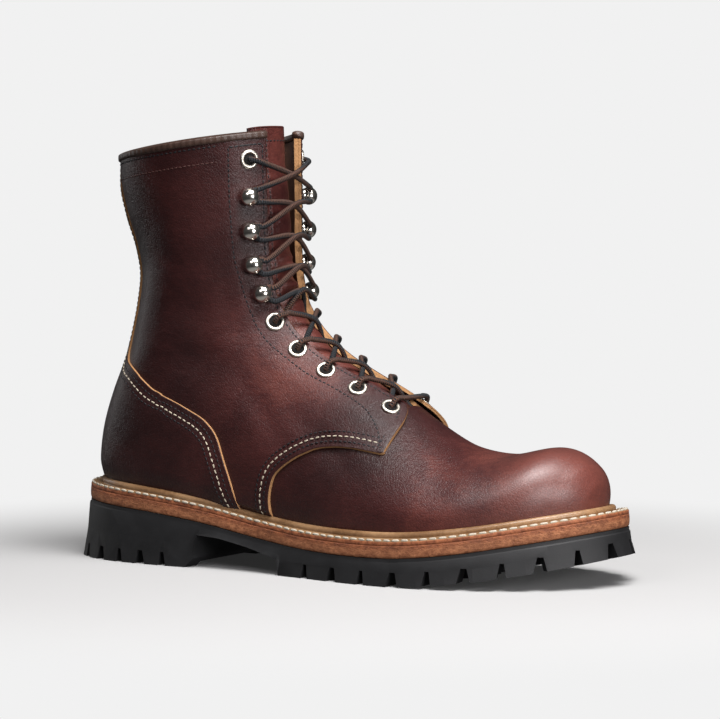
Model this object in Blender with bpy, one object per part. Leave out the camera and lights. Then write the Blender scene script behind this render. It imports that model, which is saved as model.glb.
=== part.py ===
# Logger boot for the right foot. Metres, +Z up, +X to the toe, +Y to the inner side of the foot.
# The origin lies on the floor plane under the middle of the heel.

import bpy
import bmesh
import math
import numpy as np

# Driving sizes of the sole
SOLE_LENGTH = 0.307
BALL_WIDTH = 0.112
HEEL_CENTRE = SOLE_LENGTH * 0.1205
TOE_SWING = 0.005
HEEL_STACK = 0.0305
TOE_SPRING = 0.0155
LUG_DEPTH = 0.0070
LUG_PITCH = 0.0186
LUG_GROOVE = 0.0050
EDGE_LUG_WIDTH = 0.0150
CENTRE_LUG_LENGTH = 0.0190
HEEL_FLARE = 0.0044
TOE_FLARE = 0.0030
SIDE_FLARE = 0.0018
MIDSOLE_THICKNESS = 0.0062
MIDSOLE_MARGIN = 0.0005
WELT_THICKNESS = 0.0032
RIM_HEIGHT = 0.0050
RIM_WIDTH = 0.0030
WELT_CLEARANCE = 0.0012
INSOLE_THICKNESS = 0.0030
CLEARANCE = 0.0003

# Driving sizes of the upper
LAST_LENGTH = SOLE_LENGTH * 0.9228
LAST_BACK = SOLE_LENGTH * 0.0407
LAST_WIDTH = BALL_WIDTH * 0.8393
COLLAR_HEIGHT = 0.1860
BACK_HEIGHT = 0.1730
SHAFT_WIDTH = 0.0860
WALL = 0.0022
QUARTER_LAYER = 0.0014
COUNTER_LAYER = 0.0016
COUNTER_CLEARANCE = 0.0019
FACING_LIFT = 0.0030
THROAT_HALF = 0.0166
BINDING_DEPTH = 0.0048
BINDING_WALL = 0.0012
TONGUE_THICKNESS = 0.0024
TONGUE_RISE = 0.0034
TONGUE_OVERLAP = 0.0070
TONGUE_CLEARANCE = 0.0010

# Driving sizes of the metalwork and the lace
EYELET_OUTER = 0.0050
EYELET_HOLE = 0.0028
EYELET_HEIGHT = 0.0012
HOOK_PLATE = 0.0042
HOOK_BALL = 0.0045
HOOK_HEIGHT = 0.0088
HOOK_TILT = 24.0
LACE_RADIUS = 0.0014
LACE_HEIGHT = 0.0018
BAR_DROP = 0.005
BAR_RISE = 0.0022

# Plan of the outsole. Widths are shares of the ball width on each side of the axis.
OUTLINE_COLUMNS = ("along", "outer", "inner")
OUTLINE = [
    (0.030, 0.200, 0.200),
    (0.100, 0.312, 0.310),
    (0.200, 0.350, 0.345),
    (0.300, 0.350, 0.325),
    (0.400, 0.358, 0.302),
    (0.500, 0.408, 0.335),
    (0.600, 0.470, 0.415),
    (0.680, 0.502, 0.475),
    (0.750, 0.498, 0.492),
    (0.820, 0.457, 0.482),
    (0.880, 0.392, 0.442),
    (0.930, 0.308, 0.370),
    (0.970, 0.198, 0.258),
]

# Height of the rubber's top face, in shares of the heel stack.
DECK_COLUMNS = ("along", "height")
DECK = [
    (0.000, 1.000),
    (0.100, 0.945),
    (0.200, 0.870),
    (0.300, 0.745),
    (0.400, 0.575),
    (0.500, 0.462),
    (0.600, 0.430),
    (0.700, 0.455),
    (0.800, 0.570),
    (0.900, 0.745),
    (1.000, 0.935),
]

# Underside between the heel block and the first edge lug, as shares of the length and the heel stack.
ARCH_COLUMNS = ("along", "height")
ARCH = [
    (0.000, 0.000),
    (0.270, 0.000),
    (0.286, 0.155),
    (0.293, 0.560),
    (0.336, 0.530),
    (0.397, 0.410),
    (0.4560, 0.262),
    (0.4585, 0.000),
    (1.000, 0.000),
]
SPRING_START = 0.66

# Ribs of the upper from the toe tip to the collar. Each rib is a chord in the side view.
# top_x and top_z are the chord's upper end: a share of the last length from the heel, and a share
# of the collar height above the seat. foot runs 0 to 1 along the sole from toe to heel and 1 to 2
# up the back line. outer and inner are the widest half widths as shares of the last width, widest
# is where on the chord, and crown and flank are the roundness above and below it.
RIB_COLUMNS = ("top_x", "top_z", "foot", "outer", "inner", "widest", "crown", "flank")
RIBS = [
    (1.001, 0.064, 0.00, 0.000, 0.000, 0.62, 2.00, 2.00),
    (0.997, 0.106, 0.07, 0.120, 0.120, 0.64, 2.00, 2.00),
    (0.975, 0.160, 0.13, 0.240, 0.260, 0.68, 2.05, 2.00),
    (0.920, 0.210, 0.20, 0.385, 0.425, 0.72, 2.10, 2.00),
    (0.828, 0.209, 0.28, 0.478, 0.500, 0.74, 2.05, 2.00),
    (0.743, 0.245, 0.35, 0.524, 0.508, 0.74, 1.90, 2.00),
    (0.673, 0.311, 0.42, 0.516, 0.478, 0.74, 1.82, 2.00),
    (0.595, 0.393, 0.49, 0.474, 0.436, 0.74, 1.80, 2.05),
    (0.524, 0.439, 0.56, 0.430, 0.408, 0.72, 1.82, 2.10),
    (0.468, 0.464, 0.64, 0.398, 0.388, 0.68, 1.88, 2.15),
    (0.429, 0.498, 0.74, 0.378, 0.372, 0.62, 1.94, 2.20),
    (0.406, 0.542, 0.87, 0.370, 0.366, 0.58, 1.98, 2.25),
    (0.397, 0.573, 1.00, 0.366, 0.364, 0.55, 2.00, 2.25),
    (0.392, 0.605, 1.10, 0.362, 0.360, 0.54, 2.00, 2.20),
    (0.386, 0.653, 1.25, 0.360, 0.358, 0.53, 2.00, 2.15),
    (0.380, 0.723, 1.45, 0.366, 0.364, 0.52, 2.00, 2.10),
    (0.377, 0.815, 1.68, 0.386, 0.384, 0.51, 2.00, 2.05),
    (0.375, 0.901, 1.85, 0.414, 0.412, 0.50, 2.00, 2.05),
    (0.372, 1.005, 2.00, 0.447, 0.445, 0.50, 2.00, 2.05),
]

# Centre line of the back, as shares of the back height and of the last length ahead of the heel.
BACK_COLUMNS = ("up", "ahead")
BACK = [
    (0.00, 0.000),
    (0.08, -0.001),
    (0.16, 0.005),
    (0.26, 0.024),
    (0.34, 0.045),
    (0.45, 0.065),
    (0.56, 0.081),
    (0.64, 0.087),
    (0.72, 0.079),
    (0.82, 0.058),
    (0.92, 0.044),
    (1.00, 0.043),
]

# Front edge of the quarter: where along the ribs it lies, against the girth share from the centre.
QUARTER_COLUMNS = ("girth", "rib")
QUARTER = [
    (0.000, 0.336),
    (0.090, 0.346),
    (0.200, 0.347),
    (0.330, 0.346),
    (0.455, 0.343),
    (0.480, 0.368),
    (0.520, 0.400),
    (0.590, 0.426),
    (0.680, 0.441),
    (0.770, 0.447),
    (0.850, 0.446),
    (0.920, 0.440),
    (0.965, 0.437),
    (1.000, 0.432),
]

# Front edge of the counter: distance up from the sole or the back line, in shares of the back height.
COUNTER_COLUMNS = ("rib", "reach")
COUNTER = [
    (0.466, 0.012),
    (0.485, 0.088),
    (0.508, 0.180),
    (0.530, 0.255),
    (0.552, 0.313),
    (0.583, 0.370),
    (0.628, 0.436),
    (0.680, 0.452),
    (0.733, 0.400),
    (0.752, 0.320),
    (0.770, 0.225),
    (0.790, 0.150),
    (0.815, 0.128),
    (0.860, 0.127),
    (1.000, 0.127),
]

# Half width of the throat against the ribs, as shares of its half width at the collar.
THROAT_COLUMNS = ("rib", "half")
THROAT = [
    (0.336, 0.000),
    (0.341, 0.270),
    (0.352, 0.450),
    (0.380, 0.570),
    (0.408, 0.620),
    (0.458, 0.720),
    (0.535, 0.820),
    (0.625, 0.870),
    (0.780, 0.955),
    (1.000, 1.000),
]

# Lace rows from the lowest up: place along the ribs, and whether a hook or an eyelet sits there.
LACE_COLUMNS = ("rib", "from_throat", "kind")
LACE_ROWS = [
    (0.368, 0.0078, "eyelet"),
    (0.413, 0.0076, "eyelet"),
    (0.464, 0.0068, "eyelet"),
    (0.522, 0.0066, "eyelet"),
    (0.594, 0.0070, "eyelet"),
    (0.712, 0.0064, "hook"),
    (0.800, 0.0086, "hook"),
    (0.857, 0.0090, "hook"),
    (0.908, 0.0092, "hook"),
    (0.965, 0.0096, "eyelet"),
]

COLOURS = {
    "outsole": (0.018, 0.018, 0.020, 0.75, 0.0),
    "midsole": (0.300, 0.115, 0.040, 0.60, 0.0),
    "welt": (0.210, 0.130, 0.060, 0.60, 0.0),
    "insole": (0.330, 0.190, 0.100, 0.80, 0.0),
    "upper": (0.085, 0.022, 0.018, 0.38, 0.0),
    "counter": (0.075, 0.020, 0.017, 0.38, 0.0),
    "collar_binding": (0.090, 0.055, 0.042, 0.60, 0.0),
    "tongue": (0.070, 0.020, 0.018, 0.42, 0.0),
    "metal": (0.780, 0.760, 0.720, 0.22, 1.0),
    "lace": (0.050, 0.036, 0.040, 0.80, 0.0),
}


def clear_scene():
    for item in list(bpy.data.objects):
        bpy.data.objects.remove(item, do_unlink=True)


def make_material(name):
    if name in bpy.data.materials:
        return bpy.data.materials[name]
    red, green, blue, roughness, metallic = COLOURS[name]
    material = bpy.data.materials.new(name)
    material.use_nodes = True
    shader = material.node_tree.nodes["Principled BSDF"]
    shader.inputs["Base Color"].default_value = (red, green, blue, 1.0)
    shader.inputs["Roughness"].default_value = roughness
    shader.inputs["Metallic"].default_value = metallic
    return material


def add_mesh(name, points, faces, finish, smooth=True):
    """Puts points and faces into a new object, with its faces turned outwards."""
    mesh = bpy.data.meshes.new(name)
    mesh.from_pydata([tuple(p) for p in points], [], faces)
    work = bmesh.new()
    work.from_mesh(mesh)
    bmesh.ops.recalc_face_normals(work, faces=work.faces)
    if work.calc_volume(signed=True) < 0:
        bmesh.ops.reverse_faces(work, faces=work.faces)
    work.to_mesh(mesh)
    work.free()
    mesh.materials.append(make_material(finish))
    item = bpy.data.objects.new(name, mesh)
    bpy.context.scene.collection.objects.link(item)
    if smooth:
        mesh.shade_smooth()
        mesh.set_sharp_from_angle(angle=math.radians(40))
    return item


def column(rows, names, name):
    return np.array([row[names.index(name)] for row in rows], dtype=float)


def smooth_curve(knots, values, at):
    """Cubic through the rows of a table, with each slope taken from the neighbouring rows."""
    knots = np.asarray(knots, dtype=float)
    values = np.asarray(values, dtype=float)
    at = np.clip(at, knots[0], knots[-1])
    steps = np.diff(knots)
    rises = np.diff(values) / steps
    slopes = np.empty_like(values)
    slopes[1:-1] = (rises[:-1] * steps[1:] + rises[1:] * steps[:-1]) / (steps[:-1] + steps[1:])
    slopes[0] = rises[0]
    slopes[-1] = rises[-1]
    cell = np.clip(np.searchsorted(knots, at, side="right") - 1, 0, len(steps) - 1)
    h = steps[cell]
    t = (at - knots[cell]) / h
    start = values[cell] * (1 + 2 * t) * (1 - t) ** 2 + slopes[cell] * h * t * (1 - t) ** 2
    end = values[cell + 1] * t * t * (3 - 2 * t) + slopes[cell + 1] * h * t * t * (t - 1)
    return start + end


# Plan and levels of the sole

def swing(along):
    """Sideways bend of the foot's axis towards the inner side, at a share of the sole length."""
    ramp = np.clip((np.asarray(along) - 0.45) / 0.55, 0.0, 1.0)
    return TOE_SWING * ramp * ramp * (3 - 2 * ramp)


def half_share(along, side):
    """Half width at a share of the length, as a share of the ball width. The ends come out round."""
    angle_rows = np.arccos(1 - 2 * column(OUTLINE, OUTLINE_COLUMNS, "along"))
    own = column(OUTLINE, OUTLINE_COLUMNS, "inner" if side > 0 else "outer")
    other = column(OUTLINE, OUTLINE_COLUMNS, "outer" if side > 0 else "inner")
    knots = np.concatenate([[-angle_rows[0], 0.0], angle_rows, [math.pi, 2 * math.pi - angle_rows[-1]]])
    values = np.concatenate([[-other[0], 0.0], own, [0.0, -other[-1]]])
    angle = np.arccos(np.clip(1 - 2 * np.asarray(along, dtype=float), -1.0, 1.0))
    return np.maximum(smooth_curve(knots, values, angle), 0.0)


def plan_edge(along, side, back, front, width):
    """Point of an outline that runs from back to front and is as wide at the ball as width."""
    x = back + (front - back) * along
    centre = swing((x + HEEL_CENTRE) / SOLE_LENGTH)
    return x, centre + side * half_share(along, side) * width


def sole_share(x):
    return np.clip((np.asarray(x) + HEEL_CENTRE) / SOLE_LENGTH, 0.0, 1.0)


def deck_height(x):
    rows = column(DECK, DECK_COLUMNS, "along")
    return HEEL_STACK * smooth_curve(rows, column(DECK, DECK_COLUMNS, "height"), sole_share(x))


def seat_height(x):
    """Level of the midsole's top face, where the welt, the insole and the upper stand."""
    return deck_height(x) + CLEARANCE + MIDSOLE_THICKNESS


def toe_lift(x):
    ramp = np.clip((sole_share(x) - SPRING_START) / (1 - SPRING_START), 0.0, 1.0)
    return TOE_SPRING * ramp ** 1.7


def ground_height(x):
    """Lower face of the rubber: heel, breast, arch and sprung forepart."""
    rows = column(ARCH, ARCH_COLUMNS, "along")
    arch = HEEL_STACK * np.interp(sole_share(x), rows, column(ARCH, ARCH_COLUMNS, "height"))
    return arch + toe_lift(x)


def slab(name, stations, levels, finish):
    """Closed slab over a plan outline. Each level gives its back, front, width and height rule."""
    count = len(stations)
    rings = []
    for back, front, width, height in levels:
        outer_x, outer_y = plan_edge(stations, -1, back, front, width)
        inner_x, inner_y = plan_edge(stations[::-1][1:-1], 1, back, front, width)
        x = np.concatenate([outer_x, inner_x])
        y = np.concatenate([outer_y, inner_y])
        reference = np.concatenate([stations, stations[::-1][1:-1]])
        rings.append(np.column_stack([x, y, height(reference * SOLE_LENGTH - HEEL_CENTRE)]))
    size = len(rings[0])
    faces = []
    for level in range(len(rings) - 1):
        low = level * size
        for k in range(size):
            n = (k + 1) % size
            faces.append((low + k, low + n, low + size + n, low + size + k))
    for base in (0, (len(rings) - 1) * size):
        faces.append((base, base + 1, base + size - 1))
        for k in range(1, count - 2):
            faces.append((base + k, base + k + 1, base + size - k - 1, base + size - k))
        faces.append((base + count - 2, base + count - 1, base + count))
    return add_mesh(name, np.vstack(rings), faces, finish)


def round_stations(count):
    """Shares of the length that crowd at both ends, as equal angles of a circle do."""
    return (1 - np.cos(np.linspace(0.0, math.pi, count))) / 2


BACK_END = -HEEL_CENTRE
FRONT_END = SOLE_LENGTH - HEEL_CENTRE


def edge_walk(side, margin):
    """Dense walk along one edge from the heel to the toe: points, outward directions, distances."""
    along = round_stations(400)
    x, y = plan_edge(along, side, BACK_END + margin, FRONT_END - margin, BALL_WIDTH - 2 * margin)
    points = np.column_stack([x, y])
    distance = np.concatenate([[0.0], np.cumsum(np.linalg.norm(np.diff(points, axis=0), axis=1))])
    ahead = np.gradient(points, axis=0)
    ahead /= np.linalg.norm(ahead, axis=1)[:, None]
    outward = np.column_stack([-ahead[:, 1], ahead[:, 0]]) * side
    return points, outward, distance


def block(corners_low, corners_high):
    """Corner points and faces of a closed six-sided block."""
    faces = [(0, 1, 2, 3), (7, 6, 5, 4)]
    faces += [(k, k + 4, (k + 1) % 4 + 4, (k + 1) % 4) for k in range(4)]
    return list(corners_low) + list(corners_high), faces


def joined(parts):
    points = []
    faces = []
    for part_points, part_faces in parts:
        start = len(points)
        points += [tuple(p) for p in part_points]
        faces += [tuple(start + k for k in face) for face in part_faces]
    return points, faces


def edge_notches():
    """Tapered cuts between the edge lugs: narrow at their root, wide on the ground."""
    cuts = []
    for side in (-1, 1):
        points, outward, distance = edge_walk(side, 0.0)
        breast = np.interp(ARCH[2][0] * SOLE_LENGTH - HEEL_CENTRE, points[:, 0], distance)
        first_lug = np.interp(ARCH[7][0] * SOLE_LENGTH - HEEL_CENTRE, points[:, 0], distance)
        heel_places = np.arange(breast - 1.15 * LUG_PITCH, 0.4 * LUG_PITCH, -0.76 * LUG_PITCH)
        fore_places = np.arange(first_lug + 0.92 * LUG_PITCH, distance[-1] - 0.3 * LUG_PITCH, LUG_PITCH)
        for order, place in enumerate(np.concatenate([heel_places, fore_places])):
            spot = np.array([np.interp(place, distance, points[:, k]) for k in (0, 1)])
            out = np.array([np.interp(place, distance, outward[:, k]) for k in (0, 1)])
            out /= np.linalg.norm(out)
            tangent = np.array([-out[1], out[0]])
            ground = float(ground_height(spot[0]))
            wide = 0.0030 if order % 2 else 0.0021
            cuts.append(notch(spot, out, tangent, ground, wide))
    return joined(cuts)


def notch(spot, out, tangent, ground, wide):
    low = []
    high = []
    reach_in = -EDGE_LUG_WIDTH - 0.002
    for along, across in ((reach_in, -1), (0.008, -1), (0.008, 1), (reach_in, 1)):
        base = spot + out * along
        low_point = base + tangent * across * wide * 1.5
        high_point = base + tangent * across * wide * 0.5
        low.append((low_point[0], low_point[1], ground - 0.004))
        high.append((high_point[0], high_point[1], ground + LUG_DEPTH))
    return block(low, high)


def pocket(name, first, last, depth):
    """Cutter for the space inside the edge lugs, between two shares of the sole length."""
    margin = EDGE_LUG_WIDTH
    width = BALL_WIDTH - 2 * margin
    along = np.linspace(first, last, 14)
    x, outer = plan_edge(along, -1, BACK_END + margin, FRONT_END - margin, width)
    x, inner = plan_edge(along, 1, BACK_END + margin, FRONT_END - margin, width)
    points = []
    for level in (-0.004, depth):
        for y in (outer, inner):
            points += [(x[k], y[k], ground_height(x[k]) + level) for k in range(len(x))]
    count = len(x)
    faces = []
    for k in range(count - 1):
        faces.append((k, k + 1, count + k + 1, count + k))
        faces.append((2 * count + k, 3 * count + k, 3 * count + k + 1, 2 * count + k + 1))
        faces.append((k, 2 * count + k, 2 * count + k + 1, k + 1))
        faces.append((count + k, count + k + 1, 3 * count + k + 1, 3 * count + k))
    faces.append((0, count, 3 * count, 2 * count))
    faces.append((count - 1, 3 * count - 1, 4 * count - 1, 2 * count - 1))
    return add_mesh(name, points, faces, "outsole", smooth=False)


def centre_lug(x, y, length, width):
    """Six-cornered lug standing from the pocket's roof down to the ground."""
    half = length / 2
    corners = [(half, 0.30), (half, -0.30), (0.0, -0.5), (-half, -0.30), (-half, 0.30), (0.0, 0.5)]
    points = []
    for level in ("low", "high"):
        for dx, dy in corners:
            px = x + dx
            ground = float(toe_lift(px))
            z = ground if level == "low" else ground + LUG_DEPTH + 0.001
            points.append((px, y + dy * width, z))
    faces = [(5, 4, 3, 2, 1, 0), (6, 7, 8, 9, 10, 11)]
    faces += [(k, (k + 1) % 6, (k + 1) % 6 + 6, k + 6) for k in range(6)]
    return points, faces


def centre_lugs():
    """Heel and forepart lugs. One lies at the origin, and the forepart rows start at the ball."""
    lugs = []
    lug_step = CENTRE_LUG_LENGTH + LUG_GROOVE
    for place in (-1, 0, 1):
        lugs.append(centre_lug(place * lug_step * 0.92, 0.0, CENTRE_LUG_LENGTH, 0.022))
    for order in range(-1, 4):
        x = FOREFOOT_REST + order * lug_step
        reach = plan_edge(sole_share(x), 1, BACK_END, FRONT_END, BALL_WIDTH)[1] - EDGE_LUG_WIDTH
        width = min(0.021, reach * 0.75)
        axis = float(swing(sole_share(x)))
        for side in (-1, 1):
            lugs.append(centre_lug(x, axis + side * width * 0.62, CENTRE_LUG_LENGTH, width))
    return joined(lugs)


FOREFOOT_REST = 0.535 * SOLE_LENGTH - HEEL_CENTRE


def apply_boolean(item, name, operation):
    tool = bpy.data.objects[name]
    tool.hide_render = True
    tool.display_type = "WIRE"
    change = item.modifiers.new(name, "BOOLEAN")
    change.operation = operation
    change.solver = "EXACT"
    change.object = tool


def make_outsole():
    marks = list(column(ARCH, ARCH_COLUMNS, "along"))
    stations = np.array(sorted(set(np.round(np.concatenate([round_stations(30), marks]), 5))))
    kept = [stations[0]]
    for station in stations[1:]:
        if station - kept[-1] > 0.002 or station in marks:
            kept.append(station)
    stations = np.array(kept)

    def grown(share):
        return BACK_END - HEEL_FLARE * share, FRONT_END + TOE_FLARE * share, BALL_WIDTH + SIDE_FLARE * 2 * share

    def upper_line(x):
        return np.maximum(deck_height(x) - 0.0022, ground_height(x) + 0.001)

    levels = [
        (*grown(1.0), ground_height),
        (*grown(0.35), lambda x: ground_height(x) * 0.45 + upper_line(x) * 0.55),
        (*grown(0.10), upper_line),
        (*grown(-0.10), lambda x: deck_height(x) - 0.0016),
        (*grown(-0.10), deck_height),
    ]
    sole = slab("outsole", stations, levels, "outsole")
    points, faces = edge_notches()
    add_mesh("notch_cutter", points, faces, "outsole", smooth=False)
    pocket("heel_pocket_cutter", 0.03, 0.245, LUG_DEPTH - 0.001)
    pocket("forepart_pocket_cutter", 0.474, 0.965, LUG_DEPTH - 0.001)
    points, faces = centre_lugs()
    add_mesh("centre_lug_guide", points, faces, "outsole", smooth=False)
    apply_boolean(sole, "notch_cutter", "DIFFERENCE")
    apply_boolean(sole, "heel_pocket_cutter", "DIFFERENCE")
    apply_boolean(sole, "forepart_pocket_cutter", "DIFFERENCE")
    apply_boolean(sole, "centre_lug_guide", "UNION")


def make_midsole():
    inset = MIDSOLE_MARGIN
    size = (BACK_END + inset, FRONT_END - inset, BALL_WIDTH - 2 * inset)
    levels = [
        (*size, lambda x: deck_height(x) + CLEARANCE),
        (*size, lambda x: seat_height(x)),
    ]
    slab("midsole", round_stations(36), levels, "midsole")


# Surface of the last

LAST_REAR = LAST_BACK - HEEL_CENTRE
RIB_COUNT = len(RIBS)
HEEL_CORNER = [row[RIB_COLUMNS.index("foot")] for row in RIBS].index(1.0) / (RIB_COUNT - 1)
THROAT_END = QUARTER[0][QUARTER_COLUMNS.index("rib")]


def rib_value(name, u):
    knots = np.linspace(0.0, 1.0, RIB_COUNT)
    return smooth_curve(knots, column(RIBS, RIB_COLUMNS, name), u)


def last_point(u, v, side):
    """Point on the last: u picks the rib from toe to collar, v the share of its girth from the
    centre of the top down to the sole or the back line. Each rib is two quarter ovals."""
    u = np.clip(np.atleast_1d(np.asarray(u, dtype=float)), 0.0, 1.0)
    v = np.clip(np.atleast_1d(np.asarray(v, dtype=float)), 0.0, 1.0)
    foot = rib_value("foot", u)
    sole_run = 1 - np.clip(foot, 0.0, 1.0)
    climb = np.clip(foot - 1, 0.0, 1.0)
    along = (1 - np.cos(math.pi * sole_run)) / 2
    foot_x = LAST_REAR + LAST_LENGTH * along
    up_rows = column(BACK, BACK_COLUMNS, "up")
    foot_x = foot_x + LAST_LENGTH * smooth_curve(up_rows, column(BACK, BACK_COLUMNS, "ahead"), climb)
    seat = seat_height(foot_x)
    rear_seat = seat_height(np.full_like(foot_x, LAST_REAR))
    foot_z = np.where(foot > 1, rear_seat + BACK_HEIGHT * climb, seat) + CLEARANCE
    top_x = LAST_REAR + LAST_LENGTH * rib_value("top_x", u)
    top_z = np.where(foot > 1, rear_seat, seat) + COLLAR_HEIGHT * rib_value("top_z", u)
    feather = np.where(foot < 1, half_share(along, side) * LAST_WIDTH, 0.0)
    widest = rib_value("inner" if side > 0 else "outer", u)
    shaft_share = np.clip((u - HEEL_CORNER) / (1 - HEEL_CORNER), 0.0, 1.0)
    collar_width = SHAFT_WIDTH / 2 - LAST_WIDTH * 0.446
    widest = widest * LAST_WIDTH + collar_width * shaft_share ** 2
    widest = np.maximum(widest, feather * 1.012 + 0.0006 * np.clip(u / 0.1, 0.0, 1.0))
    return rib_arc(u, v, side, (top_x, top_z), (foot_x, foot_z), feather, widest)


def rib_arc(u, v, side, top, foot, feather, widest):
    """Walks one rib by its girth. The half width above the widest place is a quarter oval, and
    below it the oval stops where it has come in to the feather line."""
    middle = rib_value("widest", u)[:, None]
    crown = rib_value("crown", u)[:, None]
    flank = rib_value("flank", u)[:, None]
    steps = np.linspace(0.0, 1.0, 33)[None, :]
    above = steps * math.pi / 2
    high_place = middle * (1 - np.cos(above) ** (2 / crown))
    high_width = np.sin(above) ** (2 / crown)
    closing = 1 - np.clip(feather / np.maximum(widest, 1e-9), 0.0, 0.9999)[:, None] ** flank
    last_angle = np.arcsin(np.sqrt(closing))
    below = steps * last_angle
    low_place = middle + (1 - middle) * (np.sin(below) / np.sin(last_angle)) ** (2 / flank)
    low_width = np.maximum(np.cos(below), 0.0) ** (2 / flank)
    place = np.concatenate([high_place, low_place[:, 1:]], axis=1)
    width = np.concatenate([high_width, low_width[:, 1:]], axis=1) * widest[:, None]
    x = top[0][:, None] + (foot[0] - top[0])[:, None] * place
    z = top[1][:, None] + (foot[1] - top[1])[:, None] * place
    y = swing(sole_share(x)) + side * width
    walk = np.sqrt(np.diff(x, axis=1) ** 2 + np.diff(y, axis=1) ** 2 + np.diff(z, axis=1) ** 2)
    girth = np.concatenate([np.zeros((len(x), 1)), np.cumsum(walk, axis=1)], axis=1)
    target = (np.broadcast_to(v, (len(x),)) * girth[:, -1])[:, None]
    cell = np.clip((girth <= target).sum(axis=1) - 1, 0, girth.shape[1] - 2)
    rows = np.arange(len(x))
    span = np.maximum(girth[rows, cell + 1] - girth[rows, cell], 1e-9)
    part = (target[:, 0] - girth[rows, cell]) / span
    found = [a[rows, cell] + (a[rows, cell + 1] - a[rows, cell]) * part for a in (x, y, z)]
    return np.column_stack(found), girth[:, -1]


def last_surface(u, v, side, offset=0.0):
    """Last surface moved along its own outward direction by offset."""
    u = np.asarray(u, dtype=float)
    v = np.asarray(v, dtype=float)
    u, v, offset = np.broadcast_arrays(u, v, np.asarray(offset, dtype=float))
    shape = u.shape
    u, v, offset = u.ravel(), v.ravel(), offset.ravel()
    step = 0.002
    u_low, u_high = np.clip(u - step, 0.0005, 1.0), np.clip(u + step, 0.0, 1.0)
    v_low, v_high = np.clip(v - step, 0.0, 1.0), np.clip(v + step, 0.0, 1.0)
    here = last_point(u, v, side)[0]
    v_safe = np.clip(v, 0.003, 0.997)
    run = last_point(u_high, v_safe, side)[0] - last_point(u_low, v_safe, side)[0]
    around = last_point(u, v_high, side)[0] - last_point(u, v_low, side)[0]
    normal = np.cross(around, run) * side
    normal /= np.maximum(np.linalg.norm(normal, axis=1), 1e-12)[:, None]
    return (here + normal * offset[:, None]).reshape(shape + (3,))


def girth_of(u, side):
    return last_point(u, np.ones_like(np.atleast_1d(u)), side)[1]


def throat_edge(u, side):
    """Girth share of the throat's edge: nothing at its lower end, then a slit that widens."""
    rows = column(THROAT, THROAT_COLUMNS, "rib")
    half = smooth_curve(rows, column(THROAT, THROAT_COLUMNS, "half"), u)
    return THROAT_HALF * half / girth_of(u, side)


def level_run(height, side, offset, count):
    """Walk at a level above the midsole from toe to heel on the last, and the ribs' places there.
    Under the foot every rib meets the level. Behind the heel corner only the low ones do, and the
    walk ends where the back line passes through the level."""
    low = np.linspace(0.0, HEEL_CORNER, 200)
    u = np.concatenate([low, np.linspace(HEEL_CORNER, 0.80, 60)[1:]])
    v = 1 - 0.9 * np.linspace(1.0, 0.0, 90) ** 2
    grid = last_surface(u[:, None], v[None, :], side, offset)
    above = grid[:, :, 2] - seat_height(grid[:, :, 0]) - CLEARANCE - height
    places = []
    for k in range(len(u)):
        if above[k, -1] >= 0:
            if u[k] > HEEL_CORNER:
                break
            places.append((u[k], 1.0))
            continue
        cell = np.nonzero(above[k] >= 0)[0][-1]
        part = above[k, cell] / (above[k, cell] - above[k, cell + 1])
        places.append((u[k], v[cell] + (v[cell + 1] - v[cell]) * part))
    last = len(places) - 1
    rise = above[last + 1, -1] - above[last, -1]
    part = np.clip(-above[last, -1] / max(rise, 1e-9), 0.0, 1.0)
    places.append((u[last] + (u[last + 1] - u[last]) * part, 1.0))
    places = np.array(places)
    points = last_surface(places[:, 0], places[:, 1], side, offset)
    distance = np.concatenate([[0.0], np.cumsum(np.linalg.norm(np.diff(points, axis=0), axis=1))])
    wanted = np.linspace(0.0, distance[-1], count)
    run = np.column_stack([np.interp(wanted, distance, points[:, k]) for k in range(3)])
    run[:, 2] = seat_height(run[:, 0]) + CLEARANCE + height
    return run, np.interp(wanted, distance, places[:, 0]), np.interp(wanted, distance, places[:, 1])


def level_ring(height, offset, count):
    """Closed ring round the last at one level: outer side from toe to heel, inner side back."""
    outer = level_run(height, -1, offset, count)[0]
    inner = level_run(height, 1, offset, count)[0]
    ring = np.vstack([outer, inner[::-1][1:-1]])
    ring[0] = (outer[0] + inner[0]) / 2
    ring[count - 1] = (outer[-1] + inner[-1]) / 2
    return ring


def outline_ring(margin, count, height):
    """Closed ring on the sole's outline, spaced evenly, in the same order as a level ring."""
    sides = []
    for side in (-1, 1):
        points, outward, distance = edge_walk(side, margin)
        wanted = np.linspace(distance[-1], 0.0, count)
        sides.append(np.column_stack([np.interp(wanted, distance, points[:, k]) for k in (0, 1)]))
    ring = np.vstack([sides[0], sides[1][::-1][1:-1]])
    return np.column_stack([ring, height(ring[:, 0])])


def ring_solid(name, rings, finish):
    """Closed band whose section is the loop of rings."""
    size = len(rings[0])
    faces = []
    for level in range(len(rings)):
        low = level * size
        high = ((level + 1) % len(rings)) * size
        for k in range(size):
            n = (k + 1) % size
            faces.append((low + k, low + n, high + n, high + k))
    return add_mesh(name, np.vstack(rings), faces, finish)


def make_welt():
    count = 31
    seat = CLEARANCE

    def strip(x):
        return seat_height(x) + seat + WELT_THICKNESS

    rings = [
        level_ring(0.0, WELT_CLEARANCE, count),
        level_ring(RIM_HEIGHT * 0.85, WELT_CLEARANCE, count),
        level_ring(RIM_HEIGHT, WELT_CLEARANCE + RIM_WIDTH * 0.35, count),
        level_ring(RIM_HEIGHT * 0.88, WELT_CLEARANCE + RIM_WIDTH * 0.75, count),
        level_ring(RIM_HEIGHT * 0.66, WELT_CLEARANCE + RIM_WIDTH * 0.85, count),
        outline_ring(MIDSOLE_MARGIN + 0.0006, count, strip),
        outline_ring(MIDSOLE_MARGIN + 0.0002, count, lambda x: seat_height(x) + seat),
    ]
    ring_solid("welt", rings, "welt")


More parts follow.
